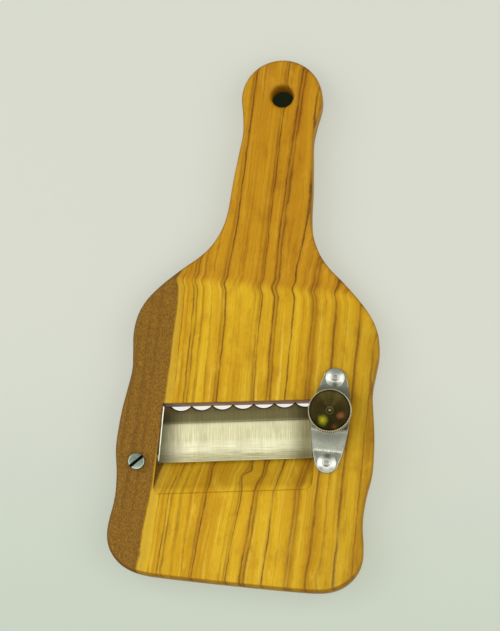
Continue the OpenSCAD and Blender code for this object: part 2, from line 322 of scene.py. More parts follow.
def region(loops, spacing, lines=(), extra=()):
    """Triangles of the area inside loops[0] and outside the other loops, with a triangular grid of inner points."""
    outer = np.array([p[:2] for p in loops[0]], float)
    lo, hi = outer.min(0), outer.max(0)
    rows, row, y = [], 0, lo[1] + spacing * 0.5
    while y < hi[1]:
        x = np.arange(lo[0] + spacing * (0.5 if row % 2 else 1.0), hi[0], spacing)
        rows.append(np.stack([x, np.full(len(x), y)], 1))
        y += spacing * 0.866
        row += 1
    pts = np.concatenate(rows + [np.array(extra, float).reshape(-1, 2)]) if rows else np.zeros((0, 2))
    ok = inside(loops[0], pts)
    for hole in loops[1:]:
        ok &= ~inside(hole, pts)
    pts = pts[ok]
    for loop in list(loops):
        pts = pts[clearance(loop, pts) > spacing * 0.45]
    for a, b in lines:
        a, b = np.array(a, float), np.array(b, float)
        d = b - a
        t = np.clip(((pts - a) @ d) / float(d @ d), 0, 1)
        pts = pts[np.hypot(*(pts - (a + t[:, None] * d)).T) > spacing * 0.3]
    coords, edges = [], []
    for loop in loops:
        k, n = len(coords), len(loop)
        coords += [Vector((p[0], p[1])) for p in loop]
        edges += [(k + i, k + (i + 1) % n) for i in range(n)]
    for a, b in lines:
        n = max(1, int(math.dist(a, b) / spacing))
        k = len(coords)
        coords += [Vector((a[0] + (b[0] - a[0]) * i / n, a[1] + (b[1] - a[1]) * i / n)) for i in range(n + 1)]
        edges += [(k + i, k + i + 1) for i in range(n)]
    coords += [Vector((float(p[0]), float(p[1]))) for p in pts]
    vs, _, fs, _, _, _ = geometry.delaunay_2d_cdt(coords, edges, [], 0, 1e-6)
    v2 = np.array([(p.x, p.y) for p in vs])
    tri = np.array([list(f) for f in fs if len(f) == 3])
    mid = v2[tri].mean(1)
    e1, e2 = v2[tri[:, 1]] - v2[tri[:, 0]], v2[tri[:, 2]] - v2[tri[:, 0]]
    # slivers along a straight run of the outline have no area and are dropped
    keep = inside(loops[0], mid) & (np.abs(e1[:, 0] * e2[:, 1] - e1[:, 1] * e2[:, 0]) > 2e-4)
    for hole in loops[1:]:
        keep &= ~inside(hole, mid)
    return [tuple(p) for p in v2], [tuple(int(i) for i in t) for t in tri[keep]]


def lift(flat, height):
    """A region in the plane raised to height(x, y)."""
    vs, fs = flat
    return [(x, y, height(x, y)) for x, y in vs], fs


def strip(rings):
    """Quads between rings of equally many points, each ring closed."""
    verts, faces, n = [], [], len(rings[0])
    for r in rings:
        verts += list(r)
    for j in range(len(rings) - 1):
        for i in range(n):
            q = (i + 1) % n
            faces.append((j * n + i, j * n + q, (j + 1) * n + q, (j + 1) * n + i))
    return verts, faces


def edge_rings(loop, radius, z, up, steps=4, inward=-1):
    """Rings that round the edge of a loop: from the face at height z to the wall. up is 1 on a top face and -1 on a bottom face."""
    ns = normals(loop)
    rs = radius if isinstance(radius, list) else [radius] * len(loop)
    rings = []
    for k in range(steps + 1):
        a = PI / 2 * k / steps
        rings.append([(p[0] + m.x * inward * r * (1 - math.sin(a)), p[1] + m.y * inward * r * (1 - math.sin(a)),
                       (z(p[0], p[1]) if callable(z) else z) - up * r * (1 - math.cos(a)))
                      for p, m, r in zip(loop, ns, rs)])
    return rings


def slab(outer, holes, z0, z1, radius, spacing, hole_radius=None, steps=3):
    """A closed plate between z0 and z1 with rounded edges round its outline and its holes."""
    hole_radius = radius if hole_radius is None else hole_radius
    parts = []
    top = edge_rings(outer, radius, z1, 1, steps)
    bottom = edge_rings(outer, radius, z0, -1, steps)
    parts.append(strip(top + bottom[::-1]))
    top_loops, bottom_loops = [top[0]], [bottom[0]]
    for h in holes:
        t = edge_rings(h, hole_radius, z1, 1, steps, inward=1)
        b = edge_rings(h, hole_radius, z0, -1, steps, inward=1)
        parts.append(strip(t + b[::-1]))
        top_loops.append(t[0])
        bottom_loops.append(b[0])
    parts.append(lift(region([[p[:2] for p in l] for l in top_loops], spacing), lambda x, y: z1))
    parts.append(lift(region([[p[:2] for p in l] for l in bottom_loops], spacing), lambda x, y: z0))
    return join(parts)


# ---- node helpers -----------------------------------------------------------------
def rgb(r, g, b):
    """A colour given in display values of 0 to 255, as the linear values a shader takes."""
    def lin(c):
        c /= 255
        return c / 12.92 if c <= 0.04045 else ((c + 0.055) / 1.055) ** 2.4
    return (lin(r), lin(g), lin(b), 1.0)


class Kit:
    """Builds one node material."""

    def __init__(self, name):
        self.m = bpy.data.materials.new(name)
        self.m.use_nodes = True
        self.t = self.m.node_tree
        self.t.nodes.clear()
        self.out = self.t.nodes.new("ShaderNodeOutputMaterial")
        self.shader = self.t.nodes.new("ShaderNodeBsdfPrincipled")
        self.t.links.new(self.shader.outputs[0], self.out.inputs[0])
        coord = self.t.nodes.new("ShaderNodeTexCoord")
        self.mm = self.vec("MULTIPLY", coord.outputs["Object"], (1000, 1000, 1000))
        self.x, self.y, self.z = self.split(self.mm)

    def put(self, socket, value):
        if isinstance(value, bpy.types.NodeSocket):
            self.t.links.new(value, socket)
        else:
            socket.default_value = value

    def math(self, op, a, b=0.0, c=0.0, clamp=False):
        n = self.t.nodes.new("ShaderNodeMath")
        n.operation = op
        n.use_clamp = clamp
        self.put(n.inputs[0], a)
        self.put(n.inputs[1], b)
        self.put(n.inputs[2], c)
        return n.outputs[0]

    def vec(self, op, a, b):
        n = self.t.nodes.new("ShaderNodeVectorMath")
        n.operation = op
        self.put(n.inputs[0], a)
        self.put(n.inputs[1], b)
        return n.outputs[0]

    def split(self, v):
        n = self.t.nodes.new("ShaderNodeSeparateXYZ")
        self.put(n.inputs[0], v)
        return n.outputs[0], n.outputs[1], n.outputs[2]

    def join(self, x, y, z):
        n = self.t.nodes.new("ShaderNodeCombineXYZ")
        for s, v in zip(n.inputs, (x, y, z)):
            self.put(s, v)
        return n.outputs[0]

    def turned(self, angle, origin=(0, 0, 0)):
        """Coordinates in millimetres about origin, turned about Z."""
        p = self.vec("SUBTRACT", self.mm, origin)
        n = self.t.nodes.new("ShaderNodeVectorRotate")
        n.rotation_type = "Z_AXIS"
        self.put(n.inputs["Vector"], p)
        self.put(n.inputs["Angle"], angle)
        return self.split(n.outputs[0])

    def noise(self, v, scale=1.0, detail=2.0, rough=0.5, distortion=0.0):
        n = self.t.nodes.new("ShaderNodeTexNoise")
        self.put(n.inputs["Vector"], v)
        self.put(n.inputs["Scale"], scale)
        self.put(n.inputs["Detail"], detail)
        self.put(n.inputs["Roughness"], rough)
        self.put(n.inputs["Distortion"], distortion)
        return n.outputs[0]

    def fit(self, v, a, b, c=0.0, d=1.0, smooth=True):
        n = self.t.nodes.new("ShaderNodeMapRange")
        n.interpolation_type = "SMOOTHSTEP" if smooth else "LINEAR"
        for s, x in zip(("Value", "From Min", "From Max", "To Min", "To Max"), (v, a, b, c, d)):
            self.put(n.inputs[s], x)
        return n.outputs[0]

    def mix(self, fac, a, b, blend="MIX"):
        n = self.t.nodes.new("ShaderNodeMix")
        n.data_type = "RGBA"
        n.blend_type = blend
        self.put(n.inputs["Factor"], fac)
        self.put(n.inputs[6], a)
        self.put(n.inputs[7], b)
        return n.outputs[2]

    def ramp(self, fac, stops, interpolation="LINEAR"):
        n = self.t.nodes.new("ShaderNodeValToRGB")
        r = n.color_ramp
        r.interpolation = interpolation
        while len(r.elements) > 1:
            r.elements.remove(r.elements[-1])
        for i, (p, c) in enumerate(stops):
            e = r.elements[0] if i == 0 else r.elements.new(p)
            e.position = p
            e.color = c if len(c) == 4 else (*c, 1)
        self.put(n.inputs[0], fac)
        return n.outputs[0]

    def attribute(self, name):
        n = self.t.nodes.new("ShaderNodeAttribute")
        n.attribute_name = name
        return n.outputs["Fac"]

    def bump(self, height, distance, strength=1.0, normal=None):
        n = self.t.nodes.new("ShaderNodeBump")
        self.put(n.inputs["Strength"], strength)
        self.put(n.inputs["Distance"], distance * MM)
        self.put(n.inputs["Height"], height)
        if normal is not None:
            self.put(n.inputs["Normal"], normal)
        return n.outputs[0]

    def lines(self, s, marks, span=62.0):
        """A mask of lines across s. marks are (centre, half width, strength)."""
        total = None
        t = self.math("MULTIPLY_ADD", s, 0.5 / span, 0.5)
        marks = sorted(marks)
        for k in range(0, len(marks), 7):
            stops, last = [(0.0, (0, 0, 0))], 0.0
            for c, w, g in marks[k:k + 7]:
                for p, v in ((c - w, 0), (c - w * 0.3, g), (c + w * 0.25, g), (c + w, 0)):
                    p = max(last + 0.0001, p / span * 0.5 + 0.5)
                    stops.append((p, (v, v, v)))
                    last = p
                # the last stop of a line and the first of the next stay apart, so each line is its own
            stops.append((min(1.0, last + 0.0005), (0, 0, 0)))
            one = self.ramp(t, stops)
            total = one if total is None else self.math("MAXIMUM", total, one)
        return total

    def finish(self, color, metallic, roughness, normal=None, **plain):
        s = self.shader.inputs
        self.put(s["Base Color"], color)
        self.put(s["Metallic"], metallic)
        self.put(s["Roughness"], roughness)
        if normal is not None:
            self.put(s["Normal"], normal)
        for k, v in plain.items():
            s[k.replace("_", " ")].default_value = v
        return self.m


# ---- materials --------------------------------------------------------------------
# the growth lines of the board: where each one runs, x at these heights y of the board
GRAIN_Y = (-115, -108, -80, -35, 0, 20, 40, 62, 85, 112)
GRAIN = (
    # reference, then x at each GRAIN_Y
    (-60.0, (-64, -63.5, -61.5, -60, -59.5, -60, -59, -58, -57, -57)),
    (-35.8, (-40.2, -39.8, -37.6, -35.8, -35.2, -35.6, -35, -34, -33, -33)),
    (-32.5, (-34.9, -34.6, -33.5, -32.5, -32.8, -33, -32, -31, -30, -30)),
    (-28.0, (-31.3, -31, -29.6, -28, -28.5, -28.9, -28, -27, -26, -26)),
    (-26.5, (-29.9, -29.6, -28.3, -26.5, -27, -27.4, -26.4, -25.4, -24.5, -24.5)),
    (-24.0, (-25.2, -25, -24.2, -24, -24.3, -24.6, -23.6, -22.6, -22, -22)),
    (-19.8, (-21, -20.8, -20, -19.8, -20.4, -21, -19.5, -18.6, -18, -17.4)),
    (-14.0, (-16.6, -16.2, -14, -14, -14.4, -14.8, -13.4, -12.9, -12.5, -11.7)),
    (1.0, (-2.7, -2.5, 0.2, 1, 0.4, 0.2, 0.4, 0.5, 0.8, 1.3)),
    (7.9, (4.8, 5, 6.7, 7.9, 6.8, 6.2, 5.8, 6.4, 7.7, 8.6)),
    (15.0, (13.1, 13.3, 14.4, 15, 14.8, 14.2, 16.2, 16.6, 15, 15.4)),
    (24.3, (23.3, 23.5, 24.6, 24.3, 24, 22.9, 25, 25, 24, 24)),
    (33.2, (31.8, 32, 32.5, 33.2, 33, 32.6, 34, 34, 33, 33)),
    (43.3, (43.4, 43.3, 42.9, 43.3, 43.6, 42.8, 44, 44, 43, 43)),
    (50.0, (50, 50, 50, 50, 50.4, 50, 51, 51, 50, 50)),
    (70.0, (70, 70, 70, 70, 70, 70, 70, 70, 70, 70)),
)
LEAN = 0.8  # how far the growth layers lean across for each millimetre of depth


def grain_of(x, y, z):
    """The growth coordinate of a point of the board."""
    q = x - LEAN * (BOARD_T - z)
    q = q + 1.3 * np.exp(-((y - 13.0) / 2.4) ** 2)
    q = q + 2.2 * np.exp(-((x - 0.5) / 3.2) ** 2 - ((y + 69.5) / 3.0) ** 2)
    q = q - 1.8 * np.exp(-((x - 6.5) / 3.0) ** 2 - ((y + 66.5) / 3.0) ** 2)
    q = q + 1.2 * np.exp(-((x + 12.0) / 5.0) ** 2 - ((y + 67.0) / 4.0) ** 2)
    q = q + 1.6 * np.exp(-((x - 34.6) / 3.0) ** 2 - ((y + 108.0) / 5.0) ** 2)
    table = np.array([g[1] for g in GRAIN], float)
    refs = np.array([g[0] for g in GRAIN], float)
    ys = np.array(GRAIN_Y, float)
    out = np.empty(len(q))
    cols = np.stack([np.interp(y, ys, row) for row in table], 1)
    for i in range(len(q)):
        out[i] = np.interp(q[i], cols[i], refs)
    return out


def add_grain(obj):
    n = len(obj.data.vertices)
    co = np.empty(n * 3)
    obj.data.vertices.foreach_get("co", co)
    co = co.reshape(-1, 3) / MM
    layer = obj.data.attributes.get("grain") or obj.data.attributes.new("grain", "FLOAT", "POINT")
    layer.data.foreach_set("value", grain_of(co[:, 0], co[:, 1], co[:, 2]).astype(np.float32))


def wood():
    k = Kit("olive_wood")
    g = k.attribute("grain")
    wob1 = k.noise(k.join(k.math("MULTIPLY", g, 0.06), k.math("MULTIPLY", k.y, 0.035), 0.0), 1.0, 2.0)
    wob2 = k.noise(k.join(k.math("MULTIPLY", g, 0.5), k.math("MULTIPLY", k.y, 0.16), k.math("MULTIPLY", k.z, 0.2)), 1.0, 2.0)
    wob3 = k.noise(k.join(k.math("MULTIPLY", g, 1.1), k.math("MULTIPLY", k.y, 0.8), k.math("MULTIPLY", k.z, 0.8)), 1.0, 3.0, 0.6)
    s = k.math("ADD", g, k.math("MULTIPLY_ADD", wob1, 1.6, -0.8))
    s = k.math("ADD", s, k.math("MULTIPLY_ADD", wob2, 0.9, -0.45))
    s = k.math("ADD", s, k.math("MULTIPLY_ADD", wob3, 0.5, -0.25))
    # soft bands of lighter and darker wood along the growth layers
    broad = k.noise(k.join(k.math("MULTIPLY", s, 0.11), k.math("MULTIPLY", k.y, 0.006), 3.0), 1.0, 2.0)
    bands = k.noise(k.join(k.math("MULTIPLY", s, 0.45), k.math("MULTIPLY", k.y, 0.012), 7.0), 1.0, 3.0, 0.6)
    base = k.mix(k.fit(broad, 0.35, 0.65), rgb(228, 182, 30), rgb(208, 156, 12))
    base = k.mix(k.fit(bands, 0.50, 0.74, 0, 0.5), base, rgb(178, 122, 2))
    base = k.mix(k.fit(bands, 0.28, 0.46, 0.7, 0), base, rgb(240, 202, 74))
    # cloudy figure
    mottle = k.noise(k.join(k.math("MULTIPLY", k.x, 0.17), k.math("MULTIPLY", k.y, 0.075), k.math("MULTIPLY", k.z, 0.17)), 1.0, 4.0, 0.62)
    base = k.mix(k.fit(mottle, 0.50, 0.70, 0, 0.42), base, rgb(176, 120, 2))
    base = k.mix(k.fit(mottle, 0.28, 0.46, 0.5, 0), base, rgb(238, 198, 56))
    # fine growth lines
    fine = k.noise(k.join(k.math("MULTIPLY", s, 1.9), k.math("MULTIPLY", k.y, 0.02), 1.0), 1.0, 2.0, 0.6)
    base = k.mix(k.fit(fine, 0.54, 0.70, 0, 0.24), base, rgb(158, 106, 2))
    # dark growth lines
    wide = [(-14.5, 2.2, 0.34), (1.0, 2.0, 0.34), (7.9, 2.4, 0.48), (15.0, 1.7, 0.32), (24.3, 3.0, 0.42),
            (33.2, 2.2, 0.38), (43.3, 2.0, 0.34), (50.5, 2.6, 0.34), (-27.3, 2.2, 0.28), (-38.5, 2.6, 0.3)]
    thin = [(-32.5, 0.42, 0.66), (-30.6, 0.26, 0.3), (-28.0, 0.36, 0.8), (-26.5, 0.34, 0.74), (-24.0, 0.42, 0.74),
            (-19.8, 0.3, 0.45), (-17.2, 0.24, 0.28), (-15.3, 0.36, 0.55), (-14.0, 0.46, 1.0), (-9.6, 0.24, 0.28),
            (-4.2, 0.24, 0.32), (-1.7, 0.34, 0.6), (0.3, 0.34, 0.75), (1.4, 0.4, 0.9), (7.2, 0.5, 0.95),
            (8.6, 0.4, 0.75), (11.4, 0.24, 0.36), (15.0, 0.46, 1.0), (19.5, 0.28, 0.3), (23.6, 0.46, 0.66),
            (25.0, 0.4, 0.55), (29.0, 0.28, 0.22), (33.2, 0.5, 0.95), (37.8, 0.28, 0.34), (43.3, 0.46, 0.95),
            (47.2, 0.26, 0.3), (50.3, 0.42, 0.65), (53.0, 0.32, 0.4)]
    along = k.noise(k.join(k.math("MULTIPLY", s, 0.35), k.math("MULTIPLY", k.y, 0.06), 11.0), 1.0, 3.0, 0.6)
    strength = k.fit(along, 0.30, 0.58, 0.42, 1.0)
    outer = k.math("MULTIPLY", k.fit(s, 18.0, 21.0), k.fit(k.y, 36.0, 56.0, 0.0, 0.75))
    edge = k.math("MULTIPLY", k.fit(s, 12.5, 14.5), k.fit(k.y, 36.0, 56.0, 0.0, 0.9))
    edge = k.math("MULTIPLY", edge, k.fit(k.z, 10.4, 11.7, 1.0, 0.0))
    strength = k.math("MULTIPLY", strength, k.math("SUBTRACT", 1.0, k.math("MAXIMUM", outer, edge)))
    base = k.mix(k.math("MULTIPLY", k.lines(s, wide), strength), base, rgb(150, 92, 2))
    base = k.mix(k.math("MULTIPLY", k.lines(s, thin), strength), base, rgb(106, 62, 6))
    # heartwood at the left edge, grainy brown, with a lighter fringe beside it
    fringe = k.lines(s, [(-34.6, 1.3, 0.8)])
    base = k.mix(fringe, base, rgb(204, 164, 50))
    grit = k.noise(k.join(k.math("MULTIPLY", k.x, 2.6), k.math("MULTIPLY", k.y, 1.1), k.math("MULTIPLY", k.z, 2.6)), 1.0, 3.0, 0.7)
    heart = k.mix(k.fit(grit, 0.34, 0.66), rgb(108, 72, 16), rgb(158, 114, 32))
    heart_band = k.noise(k.join(k.math("MULTIPLY", s, 0.55), k.math("MULTIPLY", k.y, 0.01), 5.0), 1.0, 2.0)
    heart = k.mix(k.fit(heart_band, 0.45, 0.7, 0, 0.45), heart, rgb(98, 64, 14))
    base = k.mix(k.fit(s, -36.3, -35.3, 1.0, 0.0), base, heart)
    # fibres and pores along the board
    fibre = k.noise(k.join(k.math("MULTIPLY", k.x, 5.0), k.math("MULTIPLY", k.y, 0.3), k.math("MULTIPLY", k.z, 5.0)), 1.0, 3.0, 0.6)
    base = k.mix(k.fit(fibre, 0.54, 0.74, 0, 0.34), base, rgb(140, 92, 4))
    base = k.mix(k.fit(fibre, 0.28, 0.42, 0.3, 0), base, rgb(240, 206, 84))
    # painted shade darkens the handle, the ramp and the edges; the right side is darker too
    handle_shade = k.fit(k.y, 11.0, 16.0)
    base = k.mix(k.math("MULTIPLY", handle_shade, 0.85), base, rgb(226, 203, 170), "MULTIPLY")
    right = k.math("MULTIPLY", k.fit(k.x, 16.0, 44.0), k.fit(k.y, -6.0, 14.0, 1.0, 0.0))
    base = k.mix(right, base, rgb(236, 234, 232), "MULTIPLY")
    base = k.mix(k.fit(k.z, 11.0, 11.85, 1.0, 0.0), base, rgb(228, 226, 222), "MULTIPLY")
    # the window's upper wall is in shade
    _, v, _ = k.turned(-SKEW, (0, HEEL_Y, 0))
    # painted shade on the rounded lower end, with a thin painted dark line where the rounding starts
    end = k.math("MULTIPLY", k.fit(k.y, -104.0, -110.0), k.fit(k.z, 11.3, 11.9, 1.0, 0.0))
    base = k.mix(end, base, rgb(222, 214, 200), "MULTIPLY")
    start = k.math("MULTIPLY", k.fit(k.z, 11.2, 11.6), k.fit(k.z, 11.75, 11.95, 1.0, 0.0))
    base = k.mix(k.math("MULTIPLY", k.math("MULTIPLY", start, k.fit(k.y, -104.0, -110.0)), 0.55), base, rgb(126, 80, 6))
    # a fine dark line along the ramp's lower edge
    foot = k.math("MULTIPLY", k.fit(v, -13.7, -13.35), k.fit(v, -13.2, -12.8, 1.0, 0.0))
    foot = k.math("MULTIPLY", foot, k.math("MULTIPLY", k.fit(k.x, -35.5, -34.0), k.fit(k.x, 26.5, 28.5, 1.0, 0.0)))
    foot = k.math("MULTIPLY", foot, k.fit(k.z, 11.0, 11.5))
    base = k.mix(k.math("MULTIPLY", foot, 0.5), base, rgb(130, 84, 4))
    wall = k.math("MULTIPLY", k.fit(v, 23.5, 24.2), k.fit(v, 25.7, 26.0, 1.0, 0.0))
    wall = k.math("MULTIPLY", wall, k.math("MULTIPLY", k.fit(k.x, -37.4, -37.0), k.fit(k.x, 30.4, 30.8, 1.0, 0.0)))
    wall = k.math("MULTIPLY", wall, k.fit(k.z, 11.2, 11.75, 1.0, 0.0))
    base = k.mix(wall, base, rgb(232, 196, 140), "MULTIPLY")
    height = k.math("ADD", k.math("MULTIPLY", fibre, 0.7), k.math("MULTIPLY", grit, 0.3))
    rough = k.fit(fibre, 0.3, 0.7, 0.46, 0.6)
    return k.finish(base, 0.0, rough, k.bump(height, 0.05, 0.35), Specular_IOR_Level=0.18)


def end_grain():
    k = Kit("plug_end_grain")
    x, y, z = k.turned(-SKEW, (*at_uv(-53, ROD_V), ROD_Z))
    r = k.math("SQRT", k.math("ADD", k.math("MULTIPLY", y, y), k.math("MULTIPLY", z, z)))
    ring = k.noise(k.join(k.math("MULTIPLY", k.math("ADD", y, k.math("MULTIPLY", z, 0.6)), 1.6), k.math("MULTIPLY", x, 0.3), 0.0), 1.0, 3.0)
    pores = k.noise(k.mm, 6.0, 2.0)
    c = k.mix(k.fit(ring, 0.4, 0.65), rgb(150, 104, 44), rgb(112, 72, 28))
    c = k.mix(k.fit(pores, 0.56, 0.7, 0, 0.6), c, rgb(70, 42, 18))
    c = k.mix(k.fit(r, 1.2, 1.5, 0, 0.6), c, rgb(62, 38, 14))
    return k.finish(c, 0.0, k.fit(pores, 0.3, 0.7, 0.5, 0.65), k.bump(pores, 0.04, 0.4))


def metal(name, light, dark, rough, along="z", centre=(0, 0), scratch=0.5, angle=0.0, turned=False, bump=0.012,
          stain=None, amount=0.25, deep=None, shade=None, **plain):
    """A worked metal: lathe marks round an axis if turned, otherwise brushed along an axis, with stains and small scratches."""
    k = Kit(name)
    x, y, z = k.turned(angle, (centre[0], centre[1], 0))
    if turned:
        r = k.math("SQRT", k.math("ADD", k.math("MULTIPLY", x, x), k.math("MULTIPLY", y, y)))
        line = k.noise(k.join(k.math("MULTIPLY", r, 7.0), k.math("MULTIPLY", z, 7.0), 0.0), 1.0, 3.0, 0.7)
    else:
        f = {"x": (0.12, 7.0, 7.0), "y": (7.0, 0.12, 7.0), "z": (7.0, 7.0, 0.12)}[along]
        line = k.noise(k.join(k.math("MULTIPLY", x, f[0]), k.math("MULTIPLY", y, f[1]), k.math("MULTIPLY", z, f[2])), 1.0, 3.0, 0.7)
    cloud = k.noise(k.mm, 0.35, 3.0, 0.6)
    specks = k.noise(k.mm, 5.0, 2.0, 0.7)
    c = k.mix(k.fit(line, 0.3, 0.7), light, dark)
    c = k.mix(k.fit(cloud, 0.45, 0.75, 0, amount), c, stain or dark)
    c = k.mix(k.fit(specks, 0.66, 0.8, 0, 0.35), c, dark)
    rg = k.math("ADD", k.fit(line, 0.3, 0.7, rough - 0.05, rough + 0.07), k.fit(cloud, 0.4, 0.7, 0.0, 0.08))
    if shade:
        # darker close to a raised neighbour
        d = k.math("SQRT", k.math("ADD", k.math("POWER", k.math("SUBTRACT", k.x, shade[0]), 2.0), k.math("POWER", k.math("SUBTRACT", k.y, shade[1]), 2.0)))
        c = k.mix(k.fit(d, shade[2], shade[3], 0.62, 0.0), c, rgb(96, 98, 84))
    if deep:
        # painted shade in the deep part of a slot
        c = k.mix(k.math("MULTIPLY", k.fit(z, deep[0], deep[1]), k.fit(z, deep[2], deep[3], 1.0, 0.0)), c, rgb(24, 28, 20))
    return k.finish(c, 1.0, rg, k.bump(line, bump, scratch), **plain)


def blade_steel():
    k = Kit("blade_steel")
    u, v, w = k.turned(-SKEW, (0, HEEL_Y, 0))
    across = k.noise(k.join(k.math("MULTIPLY", u, 2.2), k.math("MULTIPLY", v, 0.07), 0.0), 1.0, 4.0, 0.7)
    soft = k.noise(k.join(k.math("MULTIPLY", u, 0.16), k.math("MULTIPLY", v, 0.03), 4.0), 1.0, 2.0)
    along = k.noise(k.join(k.math("MULTIPLY", u, 0.07), k.math("MULTIPLY", v, 5.0), 2.0), 1.0, 3.0, 0.7)
    cloud = k.noise(k.mm, 0.12, 3.0, 0.6)
    low = k.fit(v, 3.0, 11.0, 1.0, 0.0)
    high = k.fit(v, 4.0, 12.0)
    c = k.mix(k.math("MULTIPLY", k.fit(across, 0.3, 0.7), k.fit(high, 0, 1, 0.35, 1.0)), rgb(208, 204, 170), rgb(178, 173, 134))
    c = k.mix(k.math("MULTIPLY", k.fit(along, 0.42, 0.58, 0, 0.8), low), c, rgb(132, 126, 94))
    c = k.mix(k.math("MULTIPLY", k.fit(v, 2.0, 5.0), k.fit(v, 7.0, 10.0, 0.35, 0.0)), c, rgb(230, 228, 200))
    c = k.mix(k.fit(soft, 0.4, 0.7, 0, 0.35), c, rgb(174, 168, 134))
    c = k.mix(k.fit(cloud, 0.45, 0.7, 0, 0.25), c, rgb(156, 150, 122))
    # painted shade towards the left end, the right end and the heel's left corner
    body = k.fit(k.x, -36.1, -35.6)
    left = k.math("MULTIPLY", k.fit(k.x, -37.5, -23.5, 1.0, 0.0), body)
    c = k.mix(k.math("MULTIPLY", left, 0.95), c, rgb(88, 86, 70), "MULTIPLY")
    right = k.fit(k.x, 15.0, 26.0)
    c = k.mix(k.math("MULTIPLY", right, 0.9), c, rgb(142, 138, 120), "MULTIPLY")
    corner = k.math("MULTIPLY", k.fit(v, 0.6, 5.5, 1.0, 0.0), k.fit(v, 0.0, 0.5))
    c = k.mix(k.math("MULTIPLY", corner, 0.6), c, rgb(206, 204, 190), "MULTIPLY")
    # painted dark reflection on the ground edge, browner towards its teeth, with a painted dark line where the bevel
    # starts
    ground = k.fit(v, 15.2, 17.6)
    c = k.mix(ground, c, rgb(178, 170, 146), "MULTIPLY")
    line = k.math("MULTIPLY", k.fit(v, 16.0, 16.3), k.fit(v, 16.3, 16.7, 1.0, 0.0))
    c = k.mix(k.math("MULTIPLY", line, k.fit(k.x, -20.0, 10.0, 0.15, 0.55)), c, rgb(60, 60, 56))
    edge = k.math("MULTIPLY", k.fit(v, 18.5, 24.0), k.fit(k.x, -30.0, 16.0, 1.0, 0.55))
    c = k.mix(k.math("MULTIPLY", edge, 0.7), c, rgb(96, 74, 42))
    # painted shade: a thin dark outline round the scallops' edges
    first = u_of(-36.3, 24.0) + 3.4
    r_s = (8.83 ** 2 / 4 + 2.1 ** 2) / 2 / 2.1
    t = k.math("SUBTRACT", k.math("FLOORED_MODULO", k.math("SUBTRACT", u, first), 8.83), 4.415)
    dv = k.math("SUBTRACT", k.math("MULTIPLY", v, 1 / math.cos(TILT)), 24.0 + r_s - 2.1)
    gap = k.math("SUBTRACT", k.math("SQRT", k.math("ADD", k.math("MULTIPLY", t, t), k.math("MULTIPLY", dv, dv))), r_s)
    rim = k.math("MULTIPLY", k.fit(gap, 0.15, 0.55, 1.0, 0.0), k.fit(k.math("SUBTRACT", u, first), -0.4, 0.0))
    c = k.mix(k.math("MULTIPLY", rim, 0.9), c, rgb(52, 40, 26))
    # painted highlight on the rounded left edge
    bright = k.math("MULTIPLY", k.fit(k.x, -35.95, -35.6, 1.0, 0.0), k.fit(v, 0.4, 1.2))
    c = k.mix(bright, c, rgb(255, 252, 234))
    rough = k.math("ADD", k.fit(across, 0.3, 0.7, 0.27, 0.36), k.math("MULTIPLY", bright, 0.25))
    height = k.math("ADD", k.math("MULTIPLY", across, 0.8), k.math("MULTIPLY", k.math("MULTIPLY", along, low), 1.2))
    return k.finish(c, 1.0, rough, k.bump(height, 0.014, 0.55), Anisotropic=0.0)


